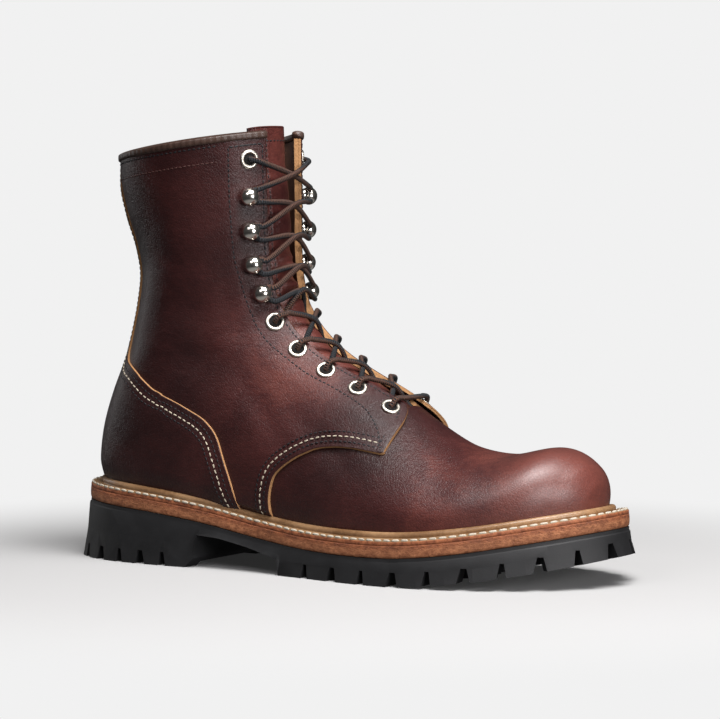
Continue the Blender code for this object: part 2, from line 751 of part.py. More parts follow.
def make_insole():
    count = 28
    edge = -WALL - CLEARANCE * 2
    low = level_ring(0.0, edge, count)
    high = low.copy()
    high[:, 2] += INSOLE_THICKNESS
    size = len(low)
    faces = [(k, (k + 1) % size, size + (k + 1) % size, size + k) for k in range(size)]
    for base in (0, size):
        faces.append((base, base + 1, base + size - 1))
        for k in range(1, count - 2):
            faces.append((base + k, base + k + 1, base + size - k - 1, base + size - k))
        faces.append((base + count - 2, base + count - 1, base + count))
    add_mesh("insole", np.vstack([low, high]), faces, "insole")


# Upper and its overlays

def quarter_layer(u, v, side):
    """Extra height of the quarter over the vamp. It lifts at the throat's lower corner and thins
    out behind the welt's rim."""
    girth = girth_of(u, side)
    base = last_point(u, v, side)[0]
    above_rim = base[:, 2] - seat_height(base[:, 0]) - RIM_HEIGHT
    thin = np.clip(above_rim / 0.0025, 0.0, 1.0)
    near_throat = np.clip(1 - (v - throat_edge(u, side)) * girth / 0.030, 0.0, 1.0)
    near_corner = np.clip(1 - (np.asarray(u) - THROAT_END) / 0.09, 0.0, 1.0)
    return QUARTER_LAYER * thin + FACING_LIFT * near_throat * near_corner ** 2


def two_sided(name, sheets, weld_start, weld_end, weld_first, finish):
    """Joins an outer-side and an inner-side sheet pair into one walled solid.
    sheets holds for each side an outside and an inside grid of points, rows by columns."""
    rows, columns = sheets[-1][0].shape[:2]
    count = rows * columns
    names = np.arange(2 * count).reshape(2, rows, columns)
    if weld_first:
        names[1, 0, :] = names[0, 0, :]
    names[1, weld_start, 0] = names[0, weld_start, 0]
    names[1, weld_end, -1] = names[0, weld_end, -1]
    layers = []
    for layer in (0, 1):
        both = np.stack([sheets[-1][layer], sheets[1][layer]])
        shared = names[1] == names[0]
        middle = (both[0] + both[1]) / 2
        both[0][shared] = middle[shared]
        both[1][shared] = middle[shared]
        layers.append(both.reshape(-1, 3))
    faces = []
    for side in (0, 1):
        for i in range(rows - 1):
            for j in range(columns - 1):
                a, b = names[side, i, j], names[side, i, j + 1]
                c, d = names[side, i + 1, j + 1], names[side, i + 1, j]
                face = (a, b, c, d) if side == 0 else (d, c, b, a)
                face = tuple(dict.fromkeys(int(k) for k in face))
                if len(face) > 2:
                    faces.append(face)
    total = 2 * count
    edges = {}
    for face in faces:
        for k in range(len(face)):
            edges[(face[k], face[(k + 1) % len(face)])] = True
    walls = [(b, a, a + total, b + total) for a, b in edges if (b, a) not in edges]
    inside = [tuple(k + total for k in reversed(face)) for face in faces]
    points = np.vstack(layers)
    faces = faces + inside + walls
    used = sorted({k for face in faces for k in face})
    renumber = {old: new for new, old in enumerate(used)}
    faces = [tuple(renumber[k] for k in face) for face in faces]
    return add_mesh(name, points[used], faces, finish)


VAMP_ROWS = 11
HEEL_ROWS = 11
SHAFT_ROWS = 11


def upper_rows(seam):
    """Places along the ribs of the upper's rows, in a column whose quarter begins at seam. The
    column at the sole has a row at the heel corner."""
    foot_seam = QUARTER[-1][1]
    heel_share = (HEEL_CORNER - foot_seam) / (1 - foot_seam)
    rim_share = heel_share + 0.018 / (1 - foot_seam)
    behind = np.concatenate([np.linspace(0.0, heel_share, HEEL_ROWS), [rim_share],
                             np.linspace(heel_share, 1.0, SHAFT_ROWS)[1:]])
    return seam + (1 - seam) * behind


def make_upper():
    share = column(QUARTER, QUARTER_COLUMNS, "girth")
    seam = column(QUARTER, QUARTER_COLUMNS, "rib")
    toe_part = np.linspace(0.0, 1.0, VAMP_ROWS) ** 1.15
    sheets = {}
    for side in (-1, 1):
        front_u = toe_part[:, None] * seam[None, :]
        back_u = np.column_stack([upper_rows(place) for place in seam])
        front_v = np.broadcast_to(share, front_u.shape)
        opening = throat_edge(back_u[:, 0], side)
        back_v = opening[:, None] + (1 - opening[:, None]) * share[None, :]
        u = np.vstack([front_u, back_u])
        v = np.vstack([front_v, back_v])
        layer = quarter_layer(back_u.ravel(), back_v.ravel(), side).reshape(back_u.shape)
        lift = np.vstack([np.zeros_like(front_u), layer])
        under = np.maximum(lift - QUARTER_LAYER, 0.0)
        u[VAMP_ROWS] += 0.0020
        outside = last_surface(u, v, side, lift)
        inside = last_surface(u, v, side, under - WALL)
        sheets[side] = (outside, inside)
    closed_front = slice(0, VAMP_ROWS)
    closed_back = slice(VAMP_ROWS + HEEL_ROWS - 1, VAMP_ROWS + HEEL_ROWS + SHAFT_ROWS)
    two_sided("upper", sheets, closed_front, closed_back, True, "upper")


def counter_reach(u):
    rows = column(COUNTER, COUNTER_COLUMNS, "rib")
    return BACK_HEIGHT * smooth_curve(rows, column(COUNTER, COUNTER_COLUMNS, "reach"), u)


FLANK_ROWS = 10


def make_counter():
    """Heel counter with its back strip, laid over the quarters above the welt's rim."""
    rim = RIM_HEIGHT + 0.0021
    offset = QUARTER_LAYER + COUNTER_CLEARANCE
    stop = float(below_collar(BINDING_DEPTH + 0.0008, np.ones(1), 1)[0])
    share = 1 - np.linspace(1.0, 0.0, 8) ** 1.4
    sheets = {}
    for side in (-1, 1):
        run, run_u, run_v = level_run(rim, side, 0.0, 200)
        first_u = COUNTER[0][0]
        corner_u = run_u[-1]
        rows = upper_rows(QUARTER[-1][1])
        lower = corner_u - (corner_u - first_u) * np.linspace(1.0, 0.0, FLANK_ROWS) ** 1.4
        u = np.concatenate([lower, rows[(rows > corner_u + 0.005) & (rows < stop - 0.005)], [stop]])
        low_v = np.interp(u, run_u, run_v)
        low_v[u >= corner_u] = 1.0
        girth = girth_of(u, side)
        top_v = low_v - counter_reach(u) / girth
        v = top_v[:, None] + (low_v - top_v)[:, None] * share[None, :]
        grid_u = np.broadcast_to(u[:, None], v.shape)
        outside = last_surface(grid_u, v, side, offset + COUNTER_LAYER)
        inside = last_surface(grid_u, v, side, offset)
        sheets[side] = (outside, inside)
    two_sided("counter", sheets, slice(0, 0), slice(FLANK_ROWS - 1, len(u)), False, "counter")


def collar_places(side):
    """Girth shares round the collar, at the columns of the upper, from the throat to the back."""
    opening = float(throat_edge(np.array([1.0]), side)[0])
    return opening + (1 - opening) * column(QUARTER, QUARTER_COLUMNS, "girth")


def below_collar(depth, v, side):
    """Place along the ribs that lies a distance below the collar's edge."""
    v = np.asarray(v, dtype=float)
    step = 0.01
    rise = last_surface(1.0, v, side) - last_surface(1.0 - step, v, side)
    return 1.0 - step * depth / np.linalg.norm(rise, axis=-1)


def make_binding():
    """Rolled edge over the top of the shaft: a channel that straddles the wall."""
    out_low = QUARTER_LAYER + CLEARANCE
    out_high = out_low + BINDING_WALL
    in_high = -WALL - CLEARANCE
    in_low = in_high - BINDING_WALL
    crest = (out_high + in_low) / 2
    half = 0.0016
    section = [
        (BINDING_DEPTH, out_low, 0.0),
        (BINDING_DEPTH, out_high, 0.0),
        (0.0, out_high, 0.0),
        (0.0, crest + half, BINDING_WALL + CLEARANCE),
        (0.0, crest - half, BINDING_WALL + CLEARANCE),
        (0.0, in_low, 0.0),
        (BINDING_DEPTH, in_low, 0.0),
        (BINDING_DEPTH, in_high, 0.0),
        (0.0, in_high, CLEARANCE * 0.9),
        (0.0, out_low, CLEARANCE * 0.9),
    ]
    lines = []
    for depth, offset, rise in section:
        halves = []
        for side in (-1, 1):
            run = collar_places(side)
            points = last_surface(below_collar(depth, run, side), run, side, offset)
            up = last_surface(1.0, run, side, 0.0) - last_surface(0.97, run, side, 0.0)
            up /= np.linalg.norm(up, axis=1)[:, None]
            halves.append(points + up * rise)
        middle = (halves[0][-1] + halves[1][-1]) / 2
        lines.append(np.vstack([halves[0][:-1], [middle], halves[1][::-1][1:]]))
    length = len(lines[0])
    points = np.vstack(lines)
    faces = []
    sides = len(section)
    for s in range(sides):
        n = (s + 1) % sides
        for k in range(length - 1):
            faces.append((s * length + k, s * length + k + 1, n * length + k + 1, n * length + k))
    for end in (0, length - 1):
        ring = [s * length + end for s in range(sides)]
        faces += [(ring[0], ring[1], ring[2], ring[9]), (ring[9], ring[2], ring[3]),
                  (ring[9], ring[3], ring[4]), (ring[9], ring[4], ring[8]),
                  (ring[8], ring[4], ring[5]), (ring[8], ring[5], ring[6], ring[7])]
    add_mesh("collar_binding", points, faces, "collar_binding")


def tongue_face(u):
    """Depth of the tongue's outer face under the last surface. It goes deeper behind the binding."""
    under_wall = -WALL - TONGUE_CLEARANCE
    under_binding = under_wall - BINDING_WALL - 2 * CLEARANCE
    return np.interp(u, [0.90, 0.955], [under_wall, under_binding])


def make_tongue():
    """Sheet under the throat that runs from behind the vamp to above the collar."""
    rows = 13
    columns = 9
    first = THROAT_END - 0.030
    u = np.linspace(first, 1.0, rows)
    face = tongue_face(u)
    grids = []
    across = np.linspace(-1.0, 1.0, columns)
    for depth in (face, face - TONGUE_THICKNESS):
        points = np.empty((rows, columns, 3))
        for side in (-1, 1):
            picked = across <= 0 if side < 0 else across >= 0
            reach = np.interp(u, [first, THROAT_END + 0.06, 1.0], [0.6, 1.0, 1.0])
            half = (THROAT_HALF + TONGUE_OVERLAP) * reach / girth_of(u, side)
            v = half[:, None] * np.abs(across[picked])[None, :]
            grid_u = np.broadcast_to(u[:, None], v.shape)
            points[:, picked] = last_surface(grid_u, v, side, depth[:, None])
        points[:, columns // 2, 1] = swing(sole_share(points[:, columns // 2, 0]))
        rise = points[-1] - points[-2]
        rise /= np.linalg.norm(rise, axis=1)[:, None]
        arch = 1 - 0.25 * across ** 4
        top = points[-1] + rise * (TONGUE_RISE * arch)[:, None]
        middle = points[-1] + rise * (TONGUE_RISE * 0.5 * arch)[:, None]
        grids.append(np.concatenate([points, [middle, top]], axis=0))
    rows += 2
    count = rows * columns
    faces = []
    for i in range(rows - 1):
        for j in range(columns - 1):
            a = i * columns + j
            face = (a, a + 1, a + columns + 1, a + columns)
            faces.append(face)
            faces.append(tuple(k + count for k in reversed(face)))
    edge = [j for j in range(columns)] + [i * columns + columns - 1 for i in range(1, rows)]
    edge += [(rows - 1) * columns + j for j in range(columns - 2, -1, -1)]
    edge += [i * columns for i in range(rows - 2, 0, -1)]
    for k in range(len(edge)):
        a, b = edge[k], edge[(k + 1) % len(edge)]
        faces.append((b, a, a + count, b + count))
    points = np.vstack([grid.reshape(-1, 3) for grid in grids])
    add_mesh("tongue", points, faces, "tongue")


# Metalwork and lace

def facing_spot(row, side, away=0.0):
    """Centre, outward direction, up-lace direction and throat direction at one lace row."""
    rib, from_throat, kind = row
    u = np.array([rib])
    girth = float(girth_of(u, side)[0])
    v = throat_edge(u, side) + (from_throat + away) / girth
    layer = quarter_layer(u, v, side)
    here = last_surface(u, v, side, layer)[0]
    above = last_surface(u + 0.006, v, side, layer)[0]
    beside = last_surface(u, v - 0.02, side, layer)[0]
    up = above - here
    up /= np.linalg.norm(up)
    inward = beside - here
    inward -= up * inward.dot(up)
    inward /= np.linalg.norm(inward)
    out = np.cross(up, inward) * side
    return here, out, up, inward


def turned(name, profile, spot, axis, turn_from, sides, closed, finish):
    """Body of revolution about an axis through spot. The profile holds radius and height."""
    right = np.cross(axis, turn_from)
    right /= np.linalg.norm(right)
    front = np.cross(right, axis)
    points = []
    rings = []
    for radius, height in profile:
        if radius == 0:
            rings.append([len(points)] * sides)
            points.append(spot + axis * height)
            continue
        ring = []
        for k in range(sides):
            angle = 2 * math.pi * k / sides
            ring.append(len(points))
            points.append(spot + axis * height + (right * math.cos(angle) + front * math.sin(angle)) * radius)
        rings.append(ring)
    faces = []
    pairs = list(zip(rings, rings[1:] + rings[:1])) if closed else list(zip(rings, rings[1:]))
    for low, high in pairs:
        for k in range(sides):
            n = (k + 1) % sides
            face = tuple(dict.fromkeys((low[k], low[n], high[n], high[k])))
            if len(face) > 2:
                faces.append(face)
    return add_mesh(name, points, faces, finish)


def make_eyelet(name, row, side):
    here, out, up, inward = facing_spot(row, side)
    seat = CLEARANCE + 0.0003
    middle = (EYELET_OUTER + EYELET_HOLE) / 2
    profile = [(EYELET_HOLE, seat), (EYELET_OUTER, seat), (middle + 0.0006, seat + EYELET_HEIGHT),
               (EYELET_HOLE + 0.0003, seat + EYELET_HEIGHT * 0.8)]
    turned(name, profile, here, out, up, 8, True, "metal")


def make_hook(name, row, side):
    """Ball hook: a riveted plate, a neck and a ball that leans away from the throat."""
    here, out, up, inward = facing_spot(row, side)
    seat = CLEARANCE + 0.0003
    lean = math.radians(HOOK_TILT)
    axis = out * math.cos(lean) - inward * math.sin(lean)
    seat += HOOK_PLATE * math.sin(lean) * 0.45
    ball = HOOK_HEIGHT - HOOK_BALL * 0.8
    profile = [(0, seat), (HOOK_PLATE * 0.62, seat), (HOOK_PLATE * 0.62, seat + 0.0008), (0.0018, seat + 0.0012)]
    for angle in (-30, 5, 45):
        turn = math.radians(angle)
        profile.append((HOOK_BALL * math.cos(turn), ball + HOOK_BALL * 0.82 * math.sin(turn)))
    profile.append((0, ball + HOOK_BALL * 0.82))
    turned(name, profile, here, axis, up, 6, False, "metal")


def tube(points, radius, sides):
    """Closed tube through the points."""
    points = np.array(points)
    ahead = np.gradient(points, axis=0)
    ahead /= np.linalg.norm(ahead, axis=1)[:, None]
    verts = []
    faces = []
    across = np.cross(ahead[0], [0.3, 0.1, 1.0])
    for k, (spot, way) in enumerate(zip(points, ahead)):
        across = across - way * across.dot(way)
        across /= np.linalg.norm(across)
        other = np.cross(way, across)
        for s in range(sides):
            angle = 2 * math.pi * s / sides
            verts.append(tuple(spot + (across * math.cos(angle) + other * math.sin(angle)) * radius))
    for k in range(len(points) - 1):
        for s in range(sides):
            n = (s + 1) % sides
            faces.append((k * sides + s, k * sides + n, (k + 1) * sides + n, (k + 1) * sides + s))
    faces.append(tuple(range(sides))[::-1])
    faces.append(tuple((len(points) - 1) * sides + s for s in range(sides)))
    return verts, faces


def lace_run(low_row, low_side, high_row, first, last, rise):
    """Points of one run that leaves a facing, bows over the tongue and reaches the other facing.
    It rests on the tongue, or the rise above it. first and last are shares of the run."""
    stop = EYELET_OUTER + LACE_RADIUS + CLEARANCE
    points = []
    for t in np.linspace(first, last, 4):
        place = 1 - 2 * t
        side = low_side if place >= 0 else -low_side
        u = np.array([low_row[0] + (high_row[0] - low_row[0]) * t])
        from_throat = low_row[1] + (high_row[1] - low_row[1]) * t
        edge = throat_edge(u, side)
        reach = edge + (from_throat - stop) / girth_of(u, side)
        on_facing = quarter_layer(u, edge, side) + LACE_HEIGHT
        on_tongue = tongue_face(u) + LACE_RADIUS + 3 * CLEARANCE
        share = np.clip((abs(place) - 0.3) / 0.5, 0.0, 1.0)
        level = on_tongue + (on_facing - on_tongue) * share + rise
        points.append(last_surface(u, reach * abs(place), side, level)[0])
        if place == 0:
            points[-1][1] = swing(sole_share(points[-1][0]))
    return points


def make_lace():
    """The bottom bar and one joined crossing between each two rows."""
    bottom = (LACE_ROWS[0][0] - BAR_DROP, LACE_ROWS[0][1])
    points, faces = tube(lace_run(bottom, -1, bottom, 0.0, 1.0, BAR_RISE), LACE_RADIUS, 5)
    add_mesh("lace_bar", points, faces, "lace")
    for order in range(len(LACE_ROWS) - 1):
        name = "lace_cross_%d" % (order + 1)
        tubes = []
        for side in (-1, 1):
            rise = LACE_RADIUS * 1.1 if side > 0 else 0.0
            run = lace_run(LACE_ROWS[order], side, LACE_ROWS[order + 1], 0.12, 0.88, rise)
            tubes.append(tube(run, LACE_RADIUS, 5))
        cross = add_mesh(name, *tubes[0], "lace")
        add_mesh(name + "_guide", *tubes[1], "lace")
        apply_boolean(cross, name + "_guide", "UNION")


def make_metalwork():
    names = {-1: "outer", 1: "inner"}
    for side in (-1, 1):
        for order, row in enumerate(LACE_ROWS):
            name = "%s_%s_%d" % (row[2], names[side], order + 1)
            if row[2] == "hook":
                make_hook(name, row, side)
            else:
                make_eyelet(name, row, side)


clear_scene()
make_outsole()
make_midsole()
make_welt()
make_insole()
make_upper()
make_counter()
make_binding()
make_tongue()
make_metalwork()
make_lace()
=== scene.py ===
import math
import bmesh
import bpy
import numpy as np
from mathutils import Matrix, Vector


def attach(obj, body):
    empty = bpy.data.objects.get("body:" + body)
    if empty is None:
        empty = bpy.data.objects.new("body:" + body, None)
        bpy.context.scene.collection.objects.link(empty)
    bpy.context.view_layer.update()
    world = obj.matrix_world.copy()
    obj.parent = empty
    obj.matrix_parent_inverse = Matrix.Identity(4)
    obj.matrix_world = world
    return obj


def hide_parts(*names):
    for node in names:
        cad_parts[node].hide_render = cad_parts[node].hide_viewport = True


# Right logger boot. Metres, +Z up, +X to the toe, +Y to the inner side. Floor at z = 0.

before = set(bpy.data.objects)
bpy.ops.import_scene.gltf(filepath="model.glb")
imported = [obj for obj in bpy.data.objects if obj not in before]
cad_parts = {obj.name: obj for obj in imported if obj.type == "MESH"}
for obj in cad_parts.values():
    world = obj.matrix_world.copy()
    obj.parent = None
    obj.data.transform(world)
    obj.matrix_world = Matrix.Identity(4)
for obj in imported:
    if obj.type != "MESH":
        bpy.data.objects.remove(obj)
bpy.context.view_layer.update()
print("frame loaded")

sole = {
    "length": 0.307,
    "ballWidth": 0.112,
    "heelCentre": 0.037,
    "toeSwing": 0.005,
    "swingStart": 0.45,
    "heelStack": 0.0305,
    "midThickness": 0.0062,
    "midMargin": 0.0005,
    "stripThickness": 0.0027,
    "rimHeight": 0.0050,
    "clearance": 0.0003,
}

last = {
    "length": 0.2833,
    "back": 0.0125,
    "width": 0.0940,
    "collarHeight": 0.1860,
    "backHeight": 0.1730,
    "shaftWidth": 0.0860,
    "collarShare": 0.446,  # of the width, which the ribs give the collar
    "featherRoom": 1.012,  # widest place over the foot line
    "featherLift": 0.0006,
    "wall": 0.0022,
    "layer": 0.0018,  # quarter over vamp
    "throatHalf": 0.0166,
    "facingLift": 0.0030,
    "liftWidth": 0.030,
    "liftLength": 0.09,  # in rib places
}

outline = [
    (0.030, 0.200, 0.200), (0.100, 0.312, 0.310), (0.200, 0.350, 0.345),
    (0.300, 0.350, 0.325), (0.400, 0.358, 0.302), (0.500, 0.408, 0.335),
    (0.600, 0.470, 0.415), (0.680, 0.502, 0.475), (0.750, 0.498, 0.492),
    (0.820, 0.457, 0.482), (0.880, 0.392, 0.442), (0.930, 0.308, 0.370),
    (0.970, 0.198, 0.258),
]  # along the sole, outer and inner half width as shares of the ball width
deck = [
    (0.000, 1.000), (0.100, 0.945), (0.200, 0.870), (0.300, 0.745), (0.400, 0.575),
    (0.500, 0.462), (0.600, 0.430), (0.700, 0.455), (0.800, 0.570), (0.900, 0.745),
    (1.000, 0.935),
]  # along the sole, top of the rubber as a share of the heel stack
ribs = [
    (1.001, 0.064, 0.00, 0.000, 0.000, 0.62, 2.00, 2.00),
    (0.997, 0.106, 0.07, 0.120, 0.120, 0.64, 2.00, 2.00),
    (0.975, 0.160, 0.13, 0.240, 0.260, 0.68, 2.05, 2.00),
    (0.920, 0.210, 0.20, 0.385, 0.425, 0.72, 2.10, 2.00),
    (0.828, 0.209, 0.28, 0.478, 0.500, 0.74, 2.05, 2.00),
    (0.743, 0.245, 0.35, 0.524, 0.508, 0.74, 1.90, 2.00),
    (0.673, 0.311, 0.42, 0.516, 0.478, 0.74, 1.82, 2.00),
    (0.595, 0.393, 0.49, 0.474, 0.436, 0.74, 1.80, 2.05),
    (0.524, 0.439, 0.56, 0.430, 0.408, 0.72, 1.82, 2.10),
    (0.468, 0.464, 0.64, 0.398, 0.388, 0.68, 1.88, 2.15),
    (0.429, 0.498, 0.74, 0.378, 0.372, 0.62, 1.94, 2.20),
    (0.406, 0.542, 0.87, 0.370, 0.366, 0.58, 1.98, 2.25),
    (0.397, 0.573, 1.00, 0.366, 0.364, 0.55, 2.00, 2.25),
    (0.392, 0.605, 1.10, 0.362, 0.360, 0.54, 2.00, 2.20),
    (0.386, 0.653, 1.25, 0.360, 0.358, 0.53, 2.00, 2.15),
    (0.380, 0.723, 1.45, 0.366, 0.364, 0.52, 2.00, 2.10),
    (0.377, 0.815, 1.68, 0.386, 0.384, 0.51, 2.00, 2.05),
    (0.375, 0.901, 1.85, 0.414, 0.412, 0.50, 2.00, 2.05),
    (0.372, 1.005, 2.00, 0.447, 0.445, 0.50, 2.00, 2.05),
]  # topX, topZ, foot, outer, inner, widest, crown, flank
backLine = [
    (0.00, 0.000), (0.08, -0.001), (0.16, 0.005), (0.26, 0.024), (0.34, 0.045),
    (0.45, 0.065), (0.56, 0.081), (0.64, 0.087), (0.72, 0.079), (0.82, 0.058),
    (0.92, 0.044), (1.00, 0.043),
]
quarterFront = [
    (0.000, 0.366), (0.090, 0.3585), (0.130, 0.353), (0.166, 0.3495), (0.200, 0.347),
    (0.250, 0.3447), (0.300, 0.3435), (0.370, 0.3424), (0.440, 0.3415), (0.462, 0.3413),
    (0.474, 0.350), (0.484, 0.367), (0.499, 0.384), (0.533, 0.408), (0.583, 0.425),
    (0.653, 0.440), (0.717, 0.448), (0.793, 0.448), (0.863, 0.445), (0.930, 0.440),
    (1.000, 0.434),
]  # girth share, rib place of the quarter's front edge
counterEdge = [
    (0.466, 1.0), (0.475, 7.1), (0.487, 16.6), (0.510, 31.7), (0.530, 43.7), (0.555, 54.2),
    (0.583, 63.1), (0.600, 68.3), (0.620, 74.0), (0.636, 79.0), (0.650, 83.6), (0.660, 86.2),
    (0.667, 87.2), (0.674, 86.6), (0.684, 84.8), (0.700, 80.6), (0.715, 76.3), (0.733, 70.4),
    (0.750, 63.5), (0.770, 54.0), (0.788, 43.0), (0.800, 34.0), (0.812, 26.5), (0.830, 22.4),
    (0.860, 21.6), (0.943, 21.8), (0.983, 23.5), (1.000, 24.0),
]  # rib place, millimetres up from the foot or round from the back line
throatLine = [
    (0.336, 0.000), (0.341, 0.270), (0.352, 0.450), (0.380, 0.570), (0.408, 0.620),
    (0.458, 0.720), (0.535, 0.820), (0.625, 0.870), (0.780, 0.955), (1.000, 1.000),
]  # rib place, share of the throat's half width
laceRows = [
    (0.368, 0.0078, "eyelet"), (0.413, 0.0076, "eyelet"), (0.464, 0.0068, "eyelet"),
    (0.522, 0.0066, "eyelet"), (0.594, 0.0070, "eyelet"), (0.712, 0.0064, "hook"),
    (0.800, 0.0086, "hook"), (0.857, 0.0090, "hook"), (0.908, 0.0092, "hook"),
    (0.965, 0.0096, "eyelet"),
]  # rib place, distance from the throat's edge, kind
sideWords = {-1: "outer", 1: "inner"}


# Curves through the tables

def smoothCurve(knots, values, at):
    # cubic between neighbouring rows, its slopes weighted from the rows on each side
    knots = np.asarray(knots, float)
    values = np.asarray(values, float)
    at = np.clip(at, knots[0], knots[-1])
    steps = np.diff(knots)
    rises = np.diff(values) / steps
    slopes = np.empty_like(values)
    slopes[1:-1] = (rises[:-1] * steps[1:] + rises[1:] * steps[:-1]) / (steps[:-1] + steps[1:])
    slopes[0], slopes[-1] = rises[0], rises[-1]
    cell = np.clip(np.searchsorted(knots, at, side="right") - 1, 0, len(steps) - 1)
    h = steps[cell]
    t = (at - knots[cell]) / h
    start = values[cell] * (1 + 2 * t) * (1 - t) ** 2 + slopes[cell] * h * t * (1 - t) ** 2
    end = values[cell + 1] * t * t * (3 - 2 * t) + slopes[cell + 1] * h * t * t * (t - 1)
    return start + end


def tableCurve(table, at, column=1):
    rows = np.array(table, float)
    return smoothCurve(rows[:, 0], rows[:, column], at)


def ease(low, high, at):
    # smooth step from 0 at low to 1 at high
    t = np.clip((np.asarray(at, float) - low) / (high - low), 0, 1)
    return t * t * (3 - 2 * t)


def unit(vectors):
    # the same directions at length 1
    return vectors / np.maximum(np.linalg.norm(vectors, axis=-1, keepdims=True), 1e-12)


def walkAlong(line):
    # distance from a line's start at each of its points
    return np.concatenate([[0], np.cumsum(np.linalg.norm(np.diff(line, axis=0), axis=1))])


def readLine(at, walk, line):
    # points of a line at given distances
    return np.stack([np.interp(at, walk, column) for column in line.T], -1)


# Sole levels and plan, as in the part

def soleShare(x):
    return np.clip((np.asarray(x) + sole["heelCentre"]) / sole["length"], 0, 1)


def swing(along):
    return sole["toeSwing"] * ease(sole["swingStart"], 1.0, along)


def halfShare(along, side):
    # half width over the sine-spaced length, so both ends come out round
    rows = np.array(outline)
    angles = np.arccos(1 - 2 * rows[:, 0])
    own = rows[:, 2] if side > 0 else rows[:, 1]
    other = rows[:, 1] if side > 0 else rows[:, 2]
    knots = np.concatenate([[-angles[0], 0], angles, [math.pi, 2 * math.pi - angles[-1]]])
    values = np.concatenate([[-other[0], 0], own, [0, -other[-1]]])
    angle = np.arccos(np.clip(1 - 2 * np.asarray(along, float), -1, 1))
    return np.maximum(smoothCurve(knots, values, angle), 0)


def deckHeight(x):
    return sole["heelStack"] * tableCurve(deck, soleShare(x))


def seatHeight(x):
    return deckHeight(x) + sole["clearance"] + sole["midThickness"]


def soleEdge(side, margin, count):
    # points of the sole's plan edge from toe to heel at even distances
    along = (1 - np.cos(np.linspace(0, math.pi, 900))) / 2
    back = -sole["heelCentre"] + margin
    front = sole["length"] - sole["heelCentre"] - margin
    x = back + (front - back) * along
    y = swing(soleShare(x)) + side * halfShare(along, side) * (sole["ballWidth"] - 2 * margin)
    line = np.column_stack([x, y])
    walk = walkAlong(line)
    return readLine(np.linspace(walk[-1], 0, count), walk, line)


# The last: every rib is a chord with a quarter oval above its widest place and one below

lastRear = last["back"] - sole["heelCentre"]
heelCorner = 12 / (len(ribs) - 1)  # the rib whose foot is the rear end of the foot line
throatEnd = throatLine[0][0]


def ribValue(column, u):
    rows = np.array(ribs)
    return smoothCurve(np.linspace(0, 1, len(rows)), rows[:, column], u)


def ribLines(u, side, steps=129):
    # x, y, z and girth of whole ribs: one row for each u
    foot = ribValue(2, u)
    climb = np.clip(foot - 1, 0, 1)
    along = (1 - np.cos(math.pi * (1 - np.clip(foot, 0, 1)))) / 2
    footX = lastRear + last["length"] * (along + tableCurve(backLine, climb))
    seat = seatHeight(footX)
    rearSeat = seatHeight(np.full_like(footX, lastRear))
    footZ = np.where(foot > 1, rearSeat + last["backHeight"] * climb, seat) + sole["clearance"]
    topX = lastRear + last["length"] * ribValue(0, u)
    topZ = np.where(foot > 1, rearSeat, seat) + last["collarHeight"] * ribValue(1, u)
    feather = np.where(foot < 1, halfShare(along, side) * last["width"], 0)
    widest = ribValue(4 if side > 0 else 3, u) * last["width"]
    shaft = np.clip((u - heelCorner) / (1 - heelCorner), 0, 1)
    widest = widest + (last["shaftWidth"] / 2 - last["width"] * last["collarShare"]) * shaft ** 2
    least = feather * last["featherRoom"] + last["featherLift"] * np.clip(u / 0.1, 0, 1)
    widest = np.maximum(widest, least)
    middle, crown, flank = (ribValue(k, u)[:, None] for k in (5, 6, 7))
    t = np.linspace(0, 1, steps)[None, :]
    above = t * math.pi / 2
    closing = 1 - np.clip(feather / np.maximum(widest, 1e-9), 0, 0.9999)[:, None] ** flank
    lastAngle = np.arcsin(np.sqrt(closing))
    below = t * lastAngle
    lower = middle + (1 - middle) * (np.sin(below) / np.sin(lastAngle)) ** (2 / flank)
    place = np.hstack([middle * (1 - np.cos(above) ** (2 / crown)), lower[:, 1:]])
    width = np.hstack([np.sin(above) ** (2 / crown), np.maximum(np.cos(below), 0)[:, 1:] ** (2 / flank)])
    x = topX[:, None] + (footX - topX)[:, None] * place
    z = topZ[:, None] + (footZ - topZ)[:, None] * place
    y = swing(soleShare(x)) + side * width * widest[:, None]
    step = np.sqrt(np.diff(x, axis=1) ** 2 + np.diff(y, axis=1) ** 2 + np.diff(z, axis=1) ** 2)
    return np.stack([x, y, z], -1), np.hstack([np.zeros((len(u), 1)), np.cumsum(step, axis=1)])


gridU, gridV = 721, 481
heelBlend = {"reach": 0.045, "fade": (0.90, 0.985), "passes": 220}


def evened(field):
    # each row moved half way to the mean of its neighbours
    result = field.copy()
    result[1:-1] = field[1:-1] * 0.5 + (field[:-2] + field[2:]) * 0.25
    return result


def lastTable(side):
    # the last's points and outward normals on an even grid of rib place and girth share
    u = np.linspace(0, 1, gridU)
    lines, girth = ribLines(u, side)
    share = np.linspace(0, 1, gridV)
    points = np.empty((gridU, gridV, 3))
    for k in range(gridU):
        for axis in range(3):
            points[k, :, axis] = np.interp(share * girth[k, -1], girth[k], lines[k, :, axis])
    smooth = evened(points)
    run = np.gradient(smooth, axis=0)
    around = np.gradient(smooth, axis=1)
    run[:3, :] = run[3, :]
    normal = unit(np.cross(around, run) * side)
    # the ribs turn sharply at the heel's corner: both fields are evened out there, away from the foot
    near = np.exp(-((u - heelCorner) / heelBlend["reach"]) ** 2)[:, None, None]
    near = near * (1 - ease(*heelBlend["fade"], share))[None, :, None]
    for field in (points, normal):
        soft = field
        for k in range(heelBlend["passes"]):
            soft = evened(soft)
        field += (soft - field) * near
    return points, unit(normal), girth[:, -1]


def shareNormals(spots):
    # a line that belongs to both sides gets normals without a sideways part
    shared = unit((tables[-1][1][spots] + tables[1][1][spots]) * [1, 0, 1])
    tables[-1][1][spots] = shared
    tables[1][1][spots] = shared


